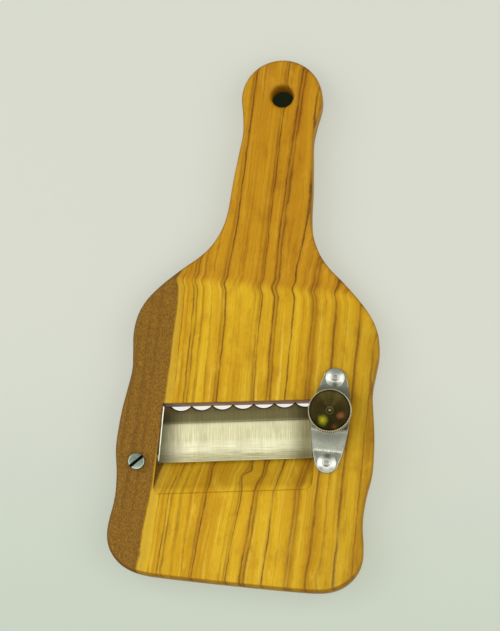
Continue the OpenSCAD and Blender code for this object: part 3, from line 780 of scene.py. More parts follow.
def knob_metal():
    k = Kit("knob_metal")
    x, y, z = k.turned(0.0, (STUD[0], STUD[1], 0))
    r = k.math("SQRT", k.math("ADD", k.math("MULTIPLY", x, x), k.math("MULTIPLY", y, y)))
    safe = k.math("MAXIMUM", r, 0.2)
    ring = k.noise(k.join(k.math("MULTIPLY", r, 5.5), 0.0, 0.0), 1.0, 3.0, 0.7)
    wedge = k.noise(k.join(k.math("DIVIDE", x, safe), k.math("DIVIDE", y, safe), 2.6), 1.5, 2.0, 0.6)
    tint = k.noise(k.join(k.math("MULTIPLY", x, 0.25), k.math("MULTIPLY", y, 0.25), 9.4), 1.0, 2.0)

    def spot(cx, cy, r0, r1):
        dx, dy = k.math("SUBTRACT", x, cx), k.math("SUBTRACT", y, cy)
        d = k.math("SQRT", k.math("ADD", k.math("MULTIPLY", dx, dx), k.math("MULTIPLY", dy, dy)))
        return k.fit(k.math("ADD", d, k.math("MULTIPLY_ADD", tint, 2.0, -1.0)), r0, r1, 1.0, 0.0)

    # painted reflection: the face's dark colour, its light and dark wedges and its yellow and orange spots stand for a
    # dark room and coloured things mirrored in the polished top
    face = k.mix(k.fit(ring, 0.35, 0.65), rgb(86, 76, 38), rgb(36, 30, 14))
    face = k.mix(k.fit(wedge, 0.45, 0.72, 0, 0.35), face, rgb(104, 94, 52))
    face = k.mix(k.fit(wedge, 0.24, 0.44, 0.5, 0), face, rgb(34, 28, 12))
    face = k.mix(k.math("MULTIPLY", spot(-2.6, -4.5, 0.0, 3.0), 0.95), face, rgb(252, 244, 60))
    face = k.mix(k.math("MULTIPLY", spot(4.6, -1.8, -0.2, 2.2), 0.55), face, rgb(222, 138, 84))
    face = k.mix(k.math("MULTIPLY", spot(2.6, -6.9, -0.2, 2.0), 0.5), face, rgb(196, 116, 56))
    face = k.mix(k.fit(r, 0.45, 0.6, 0.8, 0.0), face, rgb(150, 144, 96))
    face = k.mix(k.math("MULTIPLY", k.fit(r, 1.2, 1.45), k.fit(r, 1.55, 1.8, 0.55, 0.0)), face, rgb(136, 128, 84))
    face = k.mix(k.fit(r, 7.7, 8.4, 0.0, 0.8), face, rgb(28, 22, 10))
    rim = k.mix(k.fit(ring, 0.3, 0.7), rgb(246, 238, 210), rgb(214, 204, 172))
    # painted shade in the knurl's valleys and between its teeth
    valley = k.math("MULTIPLY", k.fit(r, 8.74, 8.98, 1.0, 0.0), k.fit(z, 30.6, 30.9, 1.0, 0.0))
    rim = k.mix(k.math("MULTIPLY", valley, 0.8), rim, rgb(58, 44, 22))
    tooth = k.math("FRACT", k.math("MULTIPLY", k.math("ADD", k.math("ARCTAN2", y, x), 2 * PI), 72 / (2 * PI)))
    tooth = k.math("ABSOLUTE", k.math("MULTIPLY_ADD", tooth, 2.0, -1.0))
    knurl_shade = k.math("MULTIPLY", k.fit(tooth, 0.4, 0.75), k.fit(r, 8.55, 8.75))
    rim = k.mix(k.math("MULTIPLY", knurl_shade, 0.95), rim, rgb(44, 34, 18))
    dark = k.math("MULTIPLY", k.fit(r, 8.58, 8.68, 1.0, 0.0), k.fit(z, 29.0, 29.4))
    c = k.mix(dark, rim, face)
    rough = k.math("SUBTRACT", k.fit(ring, 0.3, 0.7, 0.44, 0.52), k.math("MULTIPLY", dark, 0.19))
    return k.finish(c, 1.0, rough, k.bump(ring, 0.02, 0.4))


WOOD = wood()
PLUG = end_grain()
BLADE = blade_steel()
KNOB = knob_metal()
BRACKET = metal("bracket_steel", rgb(206, 208, 194), rgb(134, 137, 122), 0.27, along="y", bump=0.014, scratch=0.6,
                stain=rgb(144, 146, 130), amount=0.4, shade=(*STUD, 9.0, 14.5))
RIVET = metal("rivet_aluminium", rgb(222, 224, 214), rgb(204, 206, 194), 0.34, centre=RIVETS[0], bump=0.006,
              along="z", scratch=0.3)
MANDREL = metal("mandrel_steel", rgb(206, 206, 200), rgb(160, 160, 152), 0.38, bump=0.03, scratch=0.6)
ZINC = metal("screw_zinc", rgb(196, 212, 196), rgb(132, 148, 134), 0.26, centre=LOCK, turned=True, bump=0.012,
             deep=(13.2, 13.3, 13.85, 14.1))
WASHER = metal("washer_zinc", rgb(206, 210, 208), rgb(170, 174, 170), 0.3, along="x", bump=0.012)
NUT = metal("nut_zinc", rgb(206, 200, 176), rgb(170, 164, 138), 0.3, along="z", bump=0.015, stain=rgb(170, 150, 96))
RIVET_WASHER = metal("rivet_washer_steel", rgb(200, 202, 200), rgb(164, 166, 164), 0.32, along="y", bump=0.012)
ROD = metal("rod_steel", rgb(208, 208, 204), rgb(176, 176, 170), 0.22, along="x", angle=-SKEW, bump=0.008)
BRASS = metal("bush_brass", rgb(222, 186, 110), rgb(186, 146, 76), 0.26, centre=STUD, turned=True, bump=0.015,
              stain=rgb(150, 112, 60))
SWIVEL = metal("swivel_brass", rgb(228, 194, 120), rgb(190, 152, 84), 0.28, centre=STUD, turned=True, bump=0.015,
               stain=rgb(146, 112, 62))
STUD_STEEL = metal("stud_steel", rgb(196, 196, 190), rgb(150, 150, 144), 0.3, centre=STUD, turned=True, bump=0.012)
SPRING = metal("spring_steel", rgb(176, 176, 174), rgb(120, 120, 118), 0.26, along="x", bump=0.008)
SPRING_WASHER = metal("spring_washer_steel", rgb(206, 206, 200), rgb(170, 170, 162), 0.28, centre=STUD, turned=True,
                      bump=0.01)
CLIP = metal("clip_steel", rgb(104, 104, 106), rgb(66, 66, 68), 0.34, along="x", bump=0.02)


def place(obj, material, body, nodes):
    obj.data.materials.clear()
    obj.data.materials.append(material)
    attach(obj, body)
    if nodes:
        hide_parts(*nodes)
    return obj


# ---- board ------------------------------------------------------------------------
LOBE_Y, LOBE_R = 97.3, 17.7
KNOTS = [(0, -115), (16, -114.95), (28, -114.8), (36, -114.5), (42, -113.5), (47, -111.2), (51, -107.5),
         (53.5, -103), (54.4, -98), (54, -92), (53.1, -86), (52.8, -80), (53.4, -72), (54.7, -64), (54.9, -57),
         (54.2, -46), (52.8, -36), (51.8, -28), (52.4, -20), (53.1, -12), (52.1, -4), (49, 3), (43.4, 10),
         (35.1, 18), (28.2, 24), (23.3, 30), (19.7, 38), (18.2, 46), (17.5, 58), (16.4, 70), (15.5, 80),
         (16.1, 87), (17, 92)]


def spline(a, b, c, d, t):
    return tuple(0.5 * (2 * b[i] + (c[i] - a[i]) * t + (2 * a[i] - 5 * b[i] + 4 * c[i] - d[i]) * t * t
                        + (3 * b[i] - a[i] - 3 * c[i] + d[i]) * t ** 3) for i in (0, 1))


def knot(i):
    if i < 0:
        return (-KNOTS[-i][0], KNOTS[-i][1])
    if i >= len(KNOTS):
        a = math.radians(-8)
        return (LOBE_R * math.cos(a), LOBE_Y + LOBE_R * math.sin(a))
    return KNOTS[i]


def board_outline():
    """The board's outline, counter-clockwise, about 1.2 mm between points."""
    half = []
    for i in range(len(KNOTS)):
        n = max(2, round(math.dist(knot(i), knot(i + 1)) / 1.25))
        if i == len(KNOTS) - 1:
            n = 3
        half += [spline(knot(i - 1), knot(i), knot(i + 1), knot(i + 2), k / n) for k in range(n)]
    half += [(LOBE_R * math.cos(math.radians(a)), LOBE_Y + LOBE_R * math.sin(math.radians(a))) for a in range(-6, 90, 4)]
    left = [(-x, y) for x, y in half[1:]][::-1]
    return half + [(0, LOBE_Y + LOBE_R)] + left


def spread(a, b, step):
    """Points from a up to but not including b."""
    n = max(1, round(math.dist(a, b) / step))
    return [(a[0] + (b[0] - a[0]) * k / n, a[1] + (b[1] - a[1]) * k / n) for k in range(n)]


def arc(c, r, a0, a1, n):
    return [(c[0] + r * math.cos(math.radians(a0 + (a1 - a0) * k / n)),
             c[1] + r * math.sin(math.radians(a0 + (a1 - a0) * k / n))) for k in range(n + 1)]


def build_board():
    T = BOARD_T
    outline = board_outline()
    r_top, r_bot = 2.0, 1.6
    parts = []
    top = edge_rings(outline, r_top, T, 1, 6)
    bottom = edge_rings(outline, r_bot, 0.0, -1, 5)
    parts.append(strip(top + bottom[::-1]))

    # the cut in the front face: the ramp, the window and the adjuster's recess, in one loop
    c0 = (WIN_X0 + RAMP_R, y_of(WIN_X0 + RAMP_R, -RAMP_L) + RAMP_R / CS)
    c1 = (WIN_X1 - RAMP_R, y_of(WIN_X1 - RAMP_R, -RAMP_L) + RAMP_R / CS)
    low0, low1 = (WIN_X0, y_of(WIN_X0, 0.3)), (WIN_X1, y_of(WIN_X1, 0.3))
    up0, up1 = (WIN_X0, y_of(WIN_X0, 25.4)), (WIN_X1, y_of(WIN_X1, 24.8))
    ra, rb = -46.5, -34.2
    left_arc = arc(c0, RAMP_R, 180, 277.5, 9)
    right_arc = arc(c1, RAMP_R, 277.5, 360, 8)
    e_bot = 0.3
    step = 2.2
    FLOOR = "floor"
    loop = []  # (point, wall's foot)
    ramp_bottom = spread(left_arc[-1], right_arc[0], step)
    right_ramp = spread(right_arc[-1], low1, step)[1:]
    right_low = spread(low1, (WIN_X1, ra), step)
    recess = (spread((WIN_X1, ra), (38.5, ra), step) + arc((38.5, ra + 2), 2, -90, 0, 5)
              + spread((40.5, ra + 2), (40.5, rb - 2), step)[1:] + arc((38.5, rb - 2), 2, 0, 90, 5)
              + spread((38.5, rb), (WIN_X1, rb), step)[1:] + [(WIN_X1, rb)])
    right_high = spread((WIN_X1, rb), up1, step)
    upper = spread(up1, up0, step)
    left_high = spread(up0, low0, step)
    left_ramp = spread(low0, left_arc[0], step)
    lower = spread(low0, low1, step) + [low1]
    under_recess = spread((WIN_X1, ra), (WIN_X1, rb), step) + [(WIN_X1, rb)]

    loop += [(p, FLOOR) for p in ramp_bottom] + [(p, FLOOR) for p in right_arc]
    loop += [(p, FLOOR) for p in right_ramp] + [(low1, FLOOR)]
    n_low1 = len(loop) - 1
    loop += [(p, e_bot) for p in right_low] + [((WIN_X1, ra), e_bot)]
    loop += [(p, 6.0) for p in recess]
    loop += [(p, e_bot) for p in right_high] + [(p, e_bot) for p in upper] + [(p, e_bot) for p in left_high]
    loop += [(low0, e_bot)] + [(p, FLOOR) for p in left_ramp] + [(p, FLOOR) for p in left_arc[:-1]]
    # the points with no repeats, for the offsets
    plain, index = [], []
    for p, _ in loop:
        if plain and math.dist(plain[-1], p) < 1e-6:
            index.append(len(plain) - 1)
        else:
            index.append(len(plain))
            plain.append(p)
    foot = {}
    for (p, f), i in zip(loop, index):
        z = ramp_z(*p) if f == FLOOR else f
        foot.setdefault(i, []).append(z)
    ease = [min(0.35, 0.45 * (T - max(foot[i]))) for i in range(len(plain))]
    # the corner points are sharp, so the offsets are mitred; the wall's head lies at T - ease
    rings = edge_rings(plain, ease, T, 1, 3, inward=1)
    parts.append(strip(rings))
    levels = {}
    for i, zs in foot.items():
        levels[i] = sorted(set(round(z, 6) for z in zs), reverse=True)
    lv_extra = {}
    for p in ((WIN_X1, ra), (WIN_X1, rb)):
        lv_extra[p] = 6.0
    verts, faces = [], []

    def vert(p, z):
        verts.append((p[0], p[1], z))
        return len(verts) - 1

    n = len(loop)
    for a in range(n):
        b = (a + 1) % n
        (pa, fa), (pb, fb) = loop[a], loop[b]
        ia, ib = index[a], index[b]
        if ia == ib:
            continue
        za = ramp_z(*pa) if fa == FLOOR else fa
        zb = ramp_z(*pb) if fb == FLOOR else fb
        ta, tb = T - ease[ia], T - ease[ib]
        if ta - za < 1e-4 and tb - zb < 1e-4:
            continue
        face = [vert(pa, ta)]
        face += [vert(pa, z) for z in levels[ia] if za + 1e-4 < z < ta - 1e-4]
        face += [vert(pa, za), vert(pb, zb)]
        face += [vert(pb, z) for z in reversed(levels[ib]) if zb + 1e-4 < z < tb - 1e-4]
        face += [vert(pb, tb)]
        faces.append(tuple(face))
    # window's lower wall, and the wall under the recess
    for pts, head in ((lower, None), (under_recess, 6.0)):
        for a, b in zip(pts, pts[1:]):
            za = ramp_z(*a) if head is None else head
            zb = ramp_z(*b) if head is None else head
            faces.append((vert(a, za), vert(a, e_bot), vert(b, e_bot), vert(b, zb)))
    parts.append((verts, faces))
    # floors
    ramp_loop = (ramp_bottom + right_arc + right_ramp + lower[::-1] + left_ramp[1:] + left_arc[:-1])
    parts.append(lift(region([ramp_loop], 1.5), lambda x, y: ramp_z(x, y)))
    recess_loop = recess + under_recess[1:-1][::-1]
    parts.append(lift(region([recess_loop], 2.0), lambda x, y: 6.0))
    # window's rim on the back
    back_loop = lower[:-1] + right_low + under_recess[:-1] + right_high + upper + left_high
    back = edge_rings(back_loop, e_bot, 0.0, -1, 3, inward=1)
    parts.append(strip(back))

    # holes: each is a stack of circles from the front face to the back face
    top_holes, bottom_holes = [], []

    def hole(c, stack, n):
        rings = [[(x, y, z) for x, y in circle(c, r, n)] for r, z in stack]
        parts.append(strip(rings))
        top_holes.append([p[:2] for p in rings[0]])
        bottom_holes.append([p[:2] for p in rings[-1]])

    hr, hl = 4.8, 1.9
    lip = [(hr + hl * (1 - math.sin(a)), T - hl * (1 - math.cos(a))) for a in [PI / 2 * k / 7 for k in range(8)]]
    hole(HANG, lip + [(r, T - z) for r, z in lip[::-1]], 72)
    hole(LOCK, [(2.4, T), (2.15, T - 0.25), (2.15, 4.4), (5.2, 4.4), (5.2, 0.3), (5.5, 0.0)], 40)
    for c in RIVETS:
        hole(c, [(2.2, T), (2.05, T - 0.15), (2.05, 3.4), (4.75, 3.4), (4.75, 0.15), (4.9, 0.0)], 40)

    face_loops = [[p[:2] for p in top[0]], [p[:2] for p in rings[0]]] + top_holes
    parts.append(lift(region(face_loops, 1.5), lambda x, y: T))
    back_loops = [[p[:2] for p in bottom[0]], [p[:2] for p in back[0]]] + bottom_holes
    parts.append(lift(region(back_loops, 2.6), lambda x, y: 0.0))
    return make("slicer_board", *join(parts), merge=0.004, sharp=40)


def bar(name, u0, u1, r, chamfer, segs=40, dome=0.0):
    """A round bar on the pivot's axis, from u0 to u1."""
    prof = [(0, u0 - dome), (r * 0.5, u0 - dome * 0.75), (r - chamfer, u0), (r, u0 + chamfer),
            (r, u1 - chamfer), (r - chamfer, u1), (0, u1)]
    vs, fs = lathe(prof, segs=segs, closed=False)
    out = []
    for x, y, z in vs:
        px, py = at_uv(z, ROD_V + y)
        out.append((px, py, ROD_Z + x))
    return make(name, out, fs)


board = build_board()
drill = bar("drill", -60, 39.6, 1.53, 0.01)
boolean(board, drill, sharp=40)
add_grain(board)
place(board, WOOD, "board_body", ["board"])

rod = bar("pivot_bar", -49.5, 39.2, 1.5, 0.25)
vs, fs = lathe([(0, 0), (2.1, 0), (2.1, 18), (0, 18)], LOCK, 48, closed=False)
boolean(rod, make("notch", vs, fs))
place(rod, ROD, "board_body", ["pivot_rod"])

plug = bar("rod_plug", -54.35, -49.8, 1.5, 0.15, dome=0.12)
place(plug, PLUG, "board_body", ["rod_hole_plug"])


# ---- blade ------------------------------------------------------------------------
BLADE_W, BEVEL_V, BEVEL = 24.0, 16.4, math.radians(5.6)
PITCH, DEPTH = 8.83, 2.1
END0, END1 = -36.3, 29.7
STUD_V = -STUD[0] * SN + (STUD[1] - HEEL_Y) * CS
STUD_U = STUD[0] * CS + (STUD[1] - HEEL_Y) * SN
ROD_BV = ROD_V * math.cos(TILT) + (ROD_Z - HEEL_Z) * math.sin(TILT)
ROD_BW = -ROD_V * math.sin(TILT) + (ROD_Z - HEEL_Z) * math.cos(TILT)


def plate(u, v, w):
    """A point of the blade from its own frame: u along the heel, v towards the edge, w out of its face."""
    y = v * math.cos(TILT) - w * math.sin(TILT)
    z = HEEL_Z + v * math.sin(TILT) + w * math.cos(TILT)
    px, py = at_uv(u, y)
    return (px, py, z)


def build_blade():
    r_s = (PITCH ** 2 / 4 + DEPTH ** 2) / 2 / DEPTH
    u_first = u_of(END0, BLADE_W) + 3.4
    half = math.degrees(math.asin(PITCH / 2 / r_s))
    fv = STUD_V / math.cos(TILT) - 0.17
    v0, v1 = BEVEL_V - 0.15, BEVEL_V + 0.15
    loop, ease = [], []

    def add(points, e):
        for p in points:
            if loop and math.dist(loop[-1], p) < 1e-5:
                continue
            loop.append(p)
            ease.append(e)

    k0 = u_of(END0, 0) + 0.2
    add(arc((k0 + 1.4, 1.4), 1.4, 180, 270, 6), 0.25)
    add(spread((k0 + 2.2, 0), (u_of(END1, 0), 0), 2.0), 0.12)
    add(spread((u_of(END1, 0), 0), (u_of(END1, 13.4), 13.4), 1.6), 0.3)
    add(spread((u_of(END1, 13.4), 13.4), (STUD_U + 3.3, 13.4), 1.6), 0.1)
    add(spread((STUD_U + 3.3, 13.4), (STUD_U + 3.3, fv - 2.6), 1.0), 0.1)
    inner = arc((STUD_U, fv), 2.7, -74.4, -285.6, 20)
    add([(STUD_U + 3.3, fv - 2.6)] + inner + [(STUD_U + 3.3, fv + 2.6)], 0.1)
    add(spread((STUD_U + 3.3, fv + 2.6), (STUD_U + 3.3, 21.4), 1.0), 0.1)
    add(spread((STUD_U + 3.3, 21.4), (u_of(END1, 21.4), 21.4), 1.6), 0.1)
    add(spread((u_of(END1, 21.4), 21.4), (u_of(END1, BLADE_W), BLADE_W), 1.0), 0.06)
    add([(u_of(END1, BLADE_W), BLADE_W)], 0.04)
    for i in reversed(range(7)):
        c = (u_first + (i + 0.5) * PITCH, BLADE_W + r_s - DEPTH)
        add(arc(c, r_s, 270 + half, 270 - half, 18), 0.04)
    add(spread((u_first, BLADE_W), (u_of(END0, BLADE_W), BLADE_W), 1.2), 0.04)
    add([(u_of(END0, BLADE_W), BLADE_W)], 0.06)
    add(spread((u_of(END0, BLADE_W - 0.8), BLADE_W - 0.8), (u_of(END0, v1), v1), 1.4), 0.3)
    add([(u_of(END0, v1), v1), (u_of(END0, v0), v0)], 0.55)
    add(spread((u_of(END0, v0 - 1), v0 - 1), (k0, 1.8), 1.4), 0.55)

    def face(u, v):
        x = u * CS - v * SN
        drop = max(0.0, v - BEVEL_V) * math.tan(BEVEL)
        return -drop * max(0.0, min(1.0, 1 - (x - END1) / 1.2))

    top = edge_rings(loop, ease, face, 1, 3)
    # the front ring lies on the face at its own place
    top[0] = [(p[0], p[1], face(p[0], p[1])) for p in top[0]]
    low = [min(0.12, e) for e in ease]
    bottom = edge_rings(loop, low, -1.0, -1, 2)
    for ring in (top[1:], ):
        for r in ring:
            for i, p in enumerate(r):
                r[i] = (p[0], p[1], max(p[2], -0.93))
    parts = [strip(top + bottom[::-1])]
    inner_top = [p[:2] for p in top[0]]
    rows = []
    for vv in (v0, v1):
        rows.append(((u_of(END0, vv) + 1.2, vv), (u_of(END1, vv) - 0.8, vv)))
    parts.append(lift(region([inner_top], 1.3, lines=rows), face))
    parts.append(lift(region([[p[:2] for p in bottom[0]]], 3.0), lambda x, y: -1.0))
    vs, fs = join(parts)
    return make("blade_plate", [plate(*p) for p in vs], fs, merge=0.003, sharp=24)


def build_lip(name, c0, c1):
    eye = 2.3
    prof = ([(ROD_BV - eye, -0.97), (19, -0.97), (19, -1.9), (18.6, -2.3), (6.4, -2.3)]
            + [(ROD_BV + eye * math.cos(math.radians(a)), ROD_BW + eye * math.sin(math.radians(a)))
               for a in range(0, -181, -12)])
    prof = fillet(prof[:5], [0, 0.2, 0.3, 0.3, 0.6], 3) + prof[5:]
    if area2(prof) < 0:
        prof = prof[::-1]
    bore = circle((ROD_BV, ROD_BW), 1.55, 32)
    vs, fs = slab(prof, [bore], 0.0, 1.0, 0.12, 1.0, 0.08, 2)
    out = [plate(u_of(c0 + t * (c1 - c0), v), v, w) for v, w, t in vs]
    return make(name, out, fs, merge=0.002, sharp=40)


blade = build_blade()
place(blade, BLADE, "blade_body", ["blade"])
for side, (c0, c1) in (("left", (END0, END0 + 1)), ("right", (END1 - 1, END1))):
    place(build_lip("blade_lip_" + side, c0, c1), BLADE, "blade_body", [])


# ---- lock screw, washer, nut ------------------------------------------------------
def nut(c, af, bore, z0, z1, segs=96, tap=None):
    """A chamfered hexagon nut."""
    ap = af / 2

    def hexr(a):
        return ap / math.cos((a + PI / 6) % (PI / 3) - PI / 6)

    rings = []
    rc = ap * 0.97
    rows = 6
    for z, up in ((z0, -1), (z1, 1)):
        outer = []
        for k in range(segs):
            a = 2 * PI * k / segs
            drop = max(0.0, hexr(a) - rc) * math.tan(math.radians(28))
            outer.append((c[0] + hexr(a) * math.cos(a), c[1] + hexr(a) * math.sin(a), z - up * drop))
        ring_c = [(c[0] + rc * math.cos(2 * PI * k / segs), c[1] + rc * math.sin(2 * PI * k / segs), z) for k in range(segs)]
        ring_m = [(c[0] + (bore + 0.45) * math.cos(2 * PI * k / segs), c[1] + (bore + 0.45) * math.sin(2 * PI * k / segs), z) for k in range(segs)]
        rings.append([ring_m, ring_c, outer])
    z_a, z_b = z0 + 0.35, z1 - 0.35
    tapped = []
    n = 20
    for j in range(n + 1):
        z = z_b + (z_a - z_b) * j / n
        tapped.append([(c[0] + bore * math.cos(2 * PI * k / segs), c[1] + bore * math.sin(2 * PI * k / segs), z) for k in range(segs)])
    seq = rings[0][0:1] + rings[0][1:] + rings[1][::-1] + tapped
    vs, fs = strip(seq + [rings[0][0]])
    return vs, fs


def build_screw():
    T = BOARD_T
    head = fillet([(0, T + 2.5), (3.5, T + 2.5), (3.5, T), (2.0, T)], [0, 0.45, 0.12, 0], 5)
    prof = (head + [(2.0, T - 0.1)] + [(2.0, 9.0)] + thread_rows(2.0, 8.9, 1.2, 0.09)
            + [(1.75, 0.95), (1.6, 0.8), (0, 0.8)])
    vs, fs = lathe(prof, LOCK, 72, closed=False, radius=thread(0.7, 2.0, 1.72, 1.0, 8.9))
    obj = make("lock_screw", vs, fs, sharp=38)
    box = [(sx * 5, sy * 0.68, z) for z in (T + 1.35, T + 4) for sx, sy in ((-1, -1), (1, -1), (1, 1), (-1, 1))]
    a = math.radians(45)
    box = [(LOCK[0] + x * math.cos(a) - y * math.sin(a), LOCK[1] + x * math.sin(a) + y * math.cos(a), z) for x, y, z in box]
    cutter = make("slot_tool", box, [(0, 3, 2, 1), (4, 5, 6, 7), (0, 1, 5, 4), (1, 2, 6, 5), (2, 3, 7, 6), (3, 0, 4, 7)])
    boolean(obj, cutter, sharp=38)
    return obj


place(build_screw(), ZINC, "board_body", ["pivot_lock_screw"])
vs, fs = lathe(fillet([(2.15, 3.62), (4.5, 3.62), (4.5, 4.4), (2.15, 4.4)], [0.05, 0.2, 0.1, 0.05], 3, True), LOCK, 72)
place(make("screw_washer", vs, fs), WASHER, "board_body", ["lock_screw_washer"])
vs, fs = nut(LOCK, 7.0, 2.01, 0.4, 3.6)
place(make("screw_nut", vs, fs, sharp=25), NUT, "board_body", ["lock_screw_nut"])


# ---- bracket and its rivets -------------------------------------------------------
def brk_half(y):
    return math.sqrt(55.6 ** 2 - y * y) - (55.6 - 8.1)


def build_bracket():
    e = 22.5
    side = [(brk_half(y), y) for y in np.linspace(-17.6, 17.6, 34)]
    tip = [(5.05 * math.cos(math.radians(a)), e - 4.7 + 4.7 * math.sin(math.radians(a))) for a in range(12, 169, 6)]
    loop = side + tip + [(-x, -y) for x, y in side] + [(-x, -y) for x, y in tip]
    holes = [circle((0, 1.9), 3.52, 56), circle((0, -18.3), 2.05, 32), circle((0, 18.3), 2.05, 32)]
    vs, fs = slab(loop, holes, -0.75, 0.75, 0.28, 1.15, 0.1, 3)
    mid = fillet([(-26, 12.75), (-12.65, 12.75), (-5.15, 16.55), (7.65, 16.55), (13.7, 12.75), (26, 12.75)],
                 [0, 2.6, 2.6, 2.6, 2.6, 0], 8)
    ys = np.array([p[0] for p in mid])
    zs = np.array([p[1] for p in mid])

    def slope(y):
        d = 0.25
        return (np.interp(y + d, ys, zs) - np.interp(y - d, ys, zs)) / (2 * d)

    out = []
    for x, y, h in vs:
        g = float(slope(y))
        m = math.hypot(1, g)
        out.append((BRK[0] + x, BRK[1] + y - h * g / m, float(np.interp(y, ys, zs)) + h / m))
    return make("knob_bracket", out, fs, merge=0.003, sharp=40)


place(build_bracket(), BRACKET, "board_body", ["bracket"])

rivet_parts, mandrel_parts, washer_parts = [], [], []
for c in RIVETS:
    T = BOARD_T + 1.5
    dome = [(6.55 * math.sin(a), T - 5.2 + 6.55 * math.cos(a)) for a in [math.asin(1.75 / 6.55) + (math.asin(3.93 / 6.55) - math.asin(1.75 / 6.55)) * k / 10 for k in range(11)]]
    prof = ([(1.15, 0.7), (1.15, T + 0.78), (1.3, T + 0.82), (1.5, T + 0.95), (1.58, T + 1.06), (1.66, T + 1.1)] + dome
            + [(4.0, T - 0.01 + 0.03), (3.98, T), (2.0, T), (2.0, 2.3), (2.4, 2.2), (2.75, 1.9), (2.8, 1.3), (2.6, 0.85), (2.2, 0.6), (1.3, 0.6)])
    rivet_parts.append(lathe(prof, c, 72))
    mandrel_parts.append(lathe([(0, 0.15), (0.6, 0.18), (1.0, 0.35), (1.13, 0.6), (1.13, T + 0.72), (1.05, T + 0.86), (0.8, T + 0.92),
                                (0.45, T + 0.86), (0.2, T + 0.95), (0, T + 0.93)], c, 36, closed=False,
                               radius=lambda a, r, z: r * (1 + (0.04 * math.sin(3 * a + z * 9) if z > 14 else 0))))
    washer_parts.append(lathe(fillet([(2.05, 2.3), (4.5, 2.3), (4.5, 3.3), (2.05, 3.3)], [0.05, 0.15, 0.15, 0.05], 3, True), c, 56))
place(make("rivet_heads", *join(rivet_parts), sharp=40), RIVET, "board_body", ["bracket_rivets"])
place(make("rivet_pins", *join(mandrel_parts), sharp=50), MANDREL, "board_body", ["rivet_mandrels"])
place(make("rivet_backing", *join(washer_parts)), RIVET_WASHER, "board_body", ["rivet_washers"])


# ---- adjuster ---------------------------------------------------------------------
TAB_Z = HEEL_Z + STUD_V * math.tan(TILT) - 0.5 / math.cos(TILT)
HUB_Z, TOP_Z = 24.0, 31.0


def build_bush():
    z1, z2 = 15.8, 17.3
    prof = (fillet([(3.48, z1 - 0.5), (3.48, z2), (4.3, z2), (4.3, z2 + 2), (2.95, z2 + 2)], [0.15, 0, 0.08, 0.3, 0], 3)
            + thread_rows(2.55, z2 + 1.65, z1 - 0.15, 0.1) + [(2.95, z1 - 0.5)])

    def tap(a, r, z):
        if abs(r - 2.55) > 1e-6:
            return r
        t = (z / 0.8 - a / (2 * PI)) % 1.0
        ends = max(0.0, min(1.0, (z - z1 + 0.1) / 0.4, (z2 + 1.6 - z) / 0.4))
        return r + 0.22 * ends * min(1.0, abs(t * 2 - 1) * 1.3)
    vs, fs = lathe(prof, STUD, 72, radius=tap)
    return make("bush_threaded", vs, fs, sharp=40)


def build_knob():
    teeth, segs = 72, 432
    dish = []
    rows = 64
    for k in range(rows + 1):
        r = 8.42 * (1 - k / rows)
        z = TOP_Z - 0.78 + 0.68 * (r / 8.42) ** 2.2
        z += 0.018 * math.cos(2 * PI * r / 0.62)
        if r < 1.5:
            z -= 0.10 * math.cos(PI / 2 * (r / 1.5)) ** 2
        if r < 0.55:
            z -= 0.16 * (1 - r / 0.55)
        dish.append((r, z))
    prof = ([(0, HUB_Z + 3.5), (2.5, HUB_Z + 3.5), (2.5, HUB_Z + 0.3), (2.8, HUB_Z)]
            + fillet([(2.8, HUB_Z), (5.5, HUB_Z), (5.5, HUB_Z + 1.5), (8.7, HUB_Z + 1.5), (9.15, HUB_Z + 1.95),
                      (9.15, TOP_Z - 0.42), (8.92, TOP_Z), (8.52, TOP_Z)], [0, 0.3, 0.3, 0.15, 0.1, 0.1, 0.08, 0], 3)[1:]
            + [(8.46, TOP_Z - 0.04)] + dish)
    low, high = HUB_Z + 1.6, TOP_Z - 0.12

    def knurl(a, r, z):
        if r < 8.56 or z < low - 0.1:
            return r
        t = (a * teeth / (2 * PI)) % 1.0
        cut = abs(t * 2 - 1) ** 1.2
        share = max(0.0, min(1.0, (r - 8.56) / 0.3))
        return r - (0.4 if z < high else 0.22) * cut * share
    vs, fs = lathe(prof, STUD, segs, closed=False, radius=knurl)
    return make("knob_knurled", vs, fs, merge=0.001, sharp=55)


def build_stud():
    z = TAB_Z
    prof = ([(0, z - 3.5), (1.3, z - 3.5), (1.5, z - 3.35), (1.5, z - 3.1), (1.16, z - 3.1), (1.16, z - 2.5), (1.5, z - 2.5),
             (1.5, z + 2.3), (2.2, z + 2.3)] + thread_rows(2.5, z + 2.6, HUB_Z - 0.1, 0.1)
            + [(2.45, HUB_Z + 0.05), (2.45, HUB_Z + 3.2), (2.3, HUB_Z + 3.4), (0, HUB_Z + 3.4)])
    vs, fs = lathe(prof, STUD, 60, closed=False, radius=thread(0.8, 2.5, 2.08, z + 2.4, HUB_Z + 0.05, 0.5))
    return make("stud_threaded", vs, fs, sharp=38)


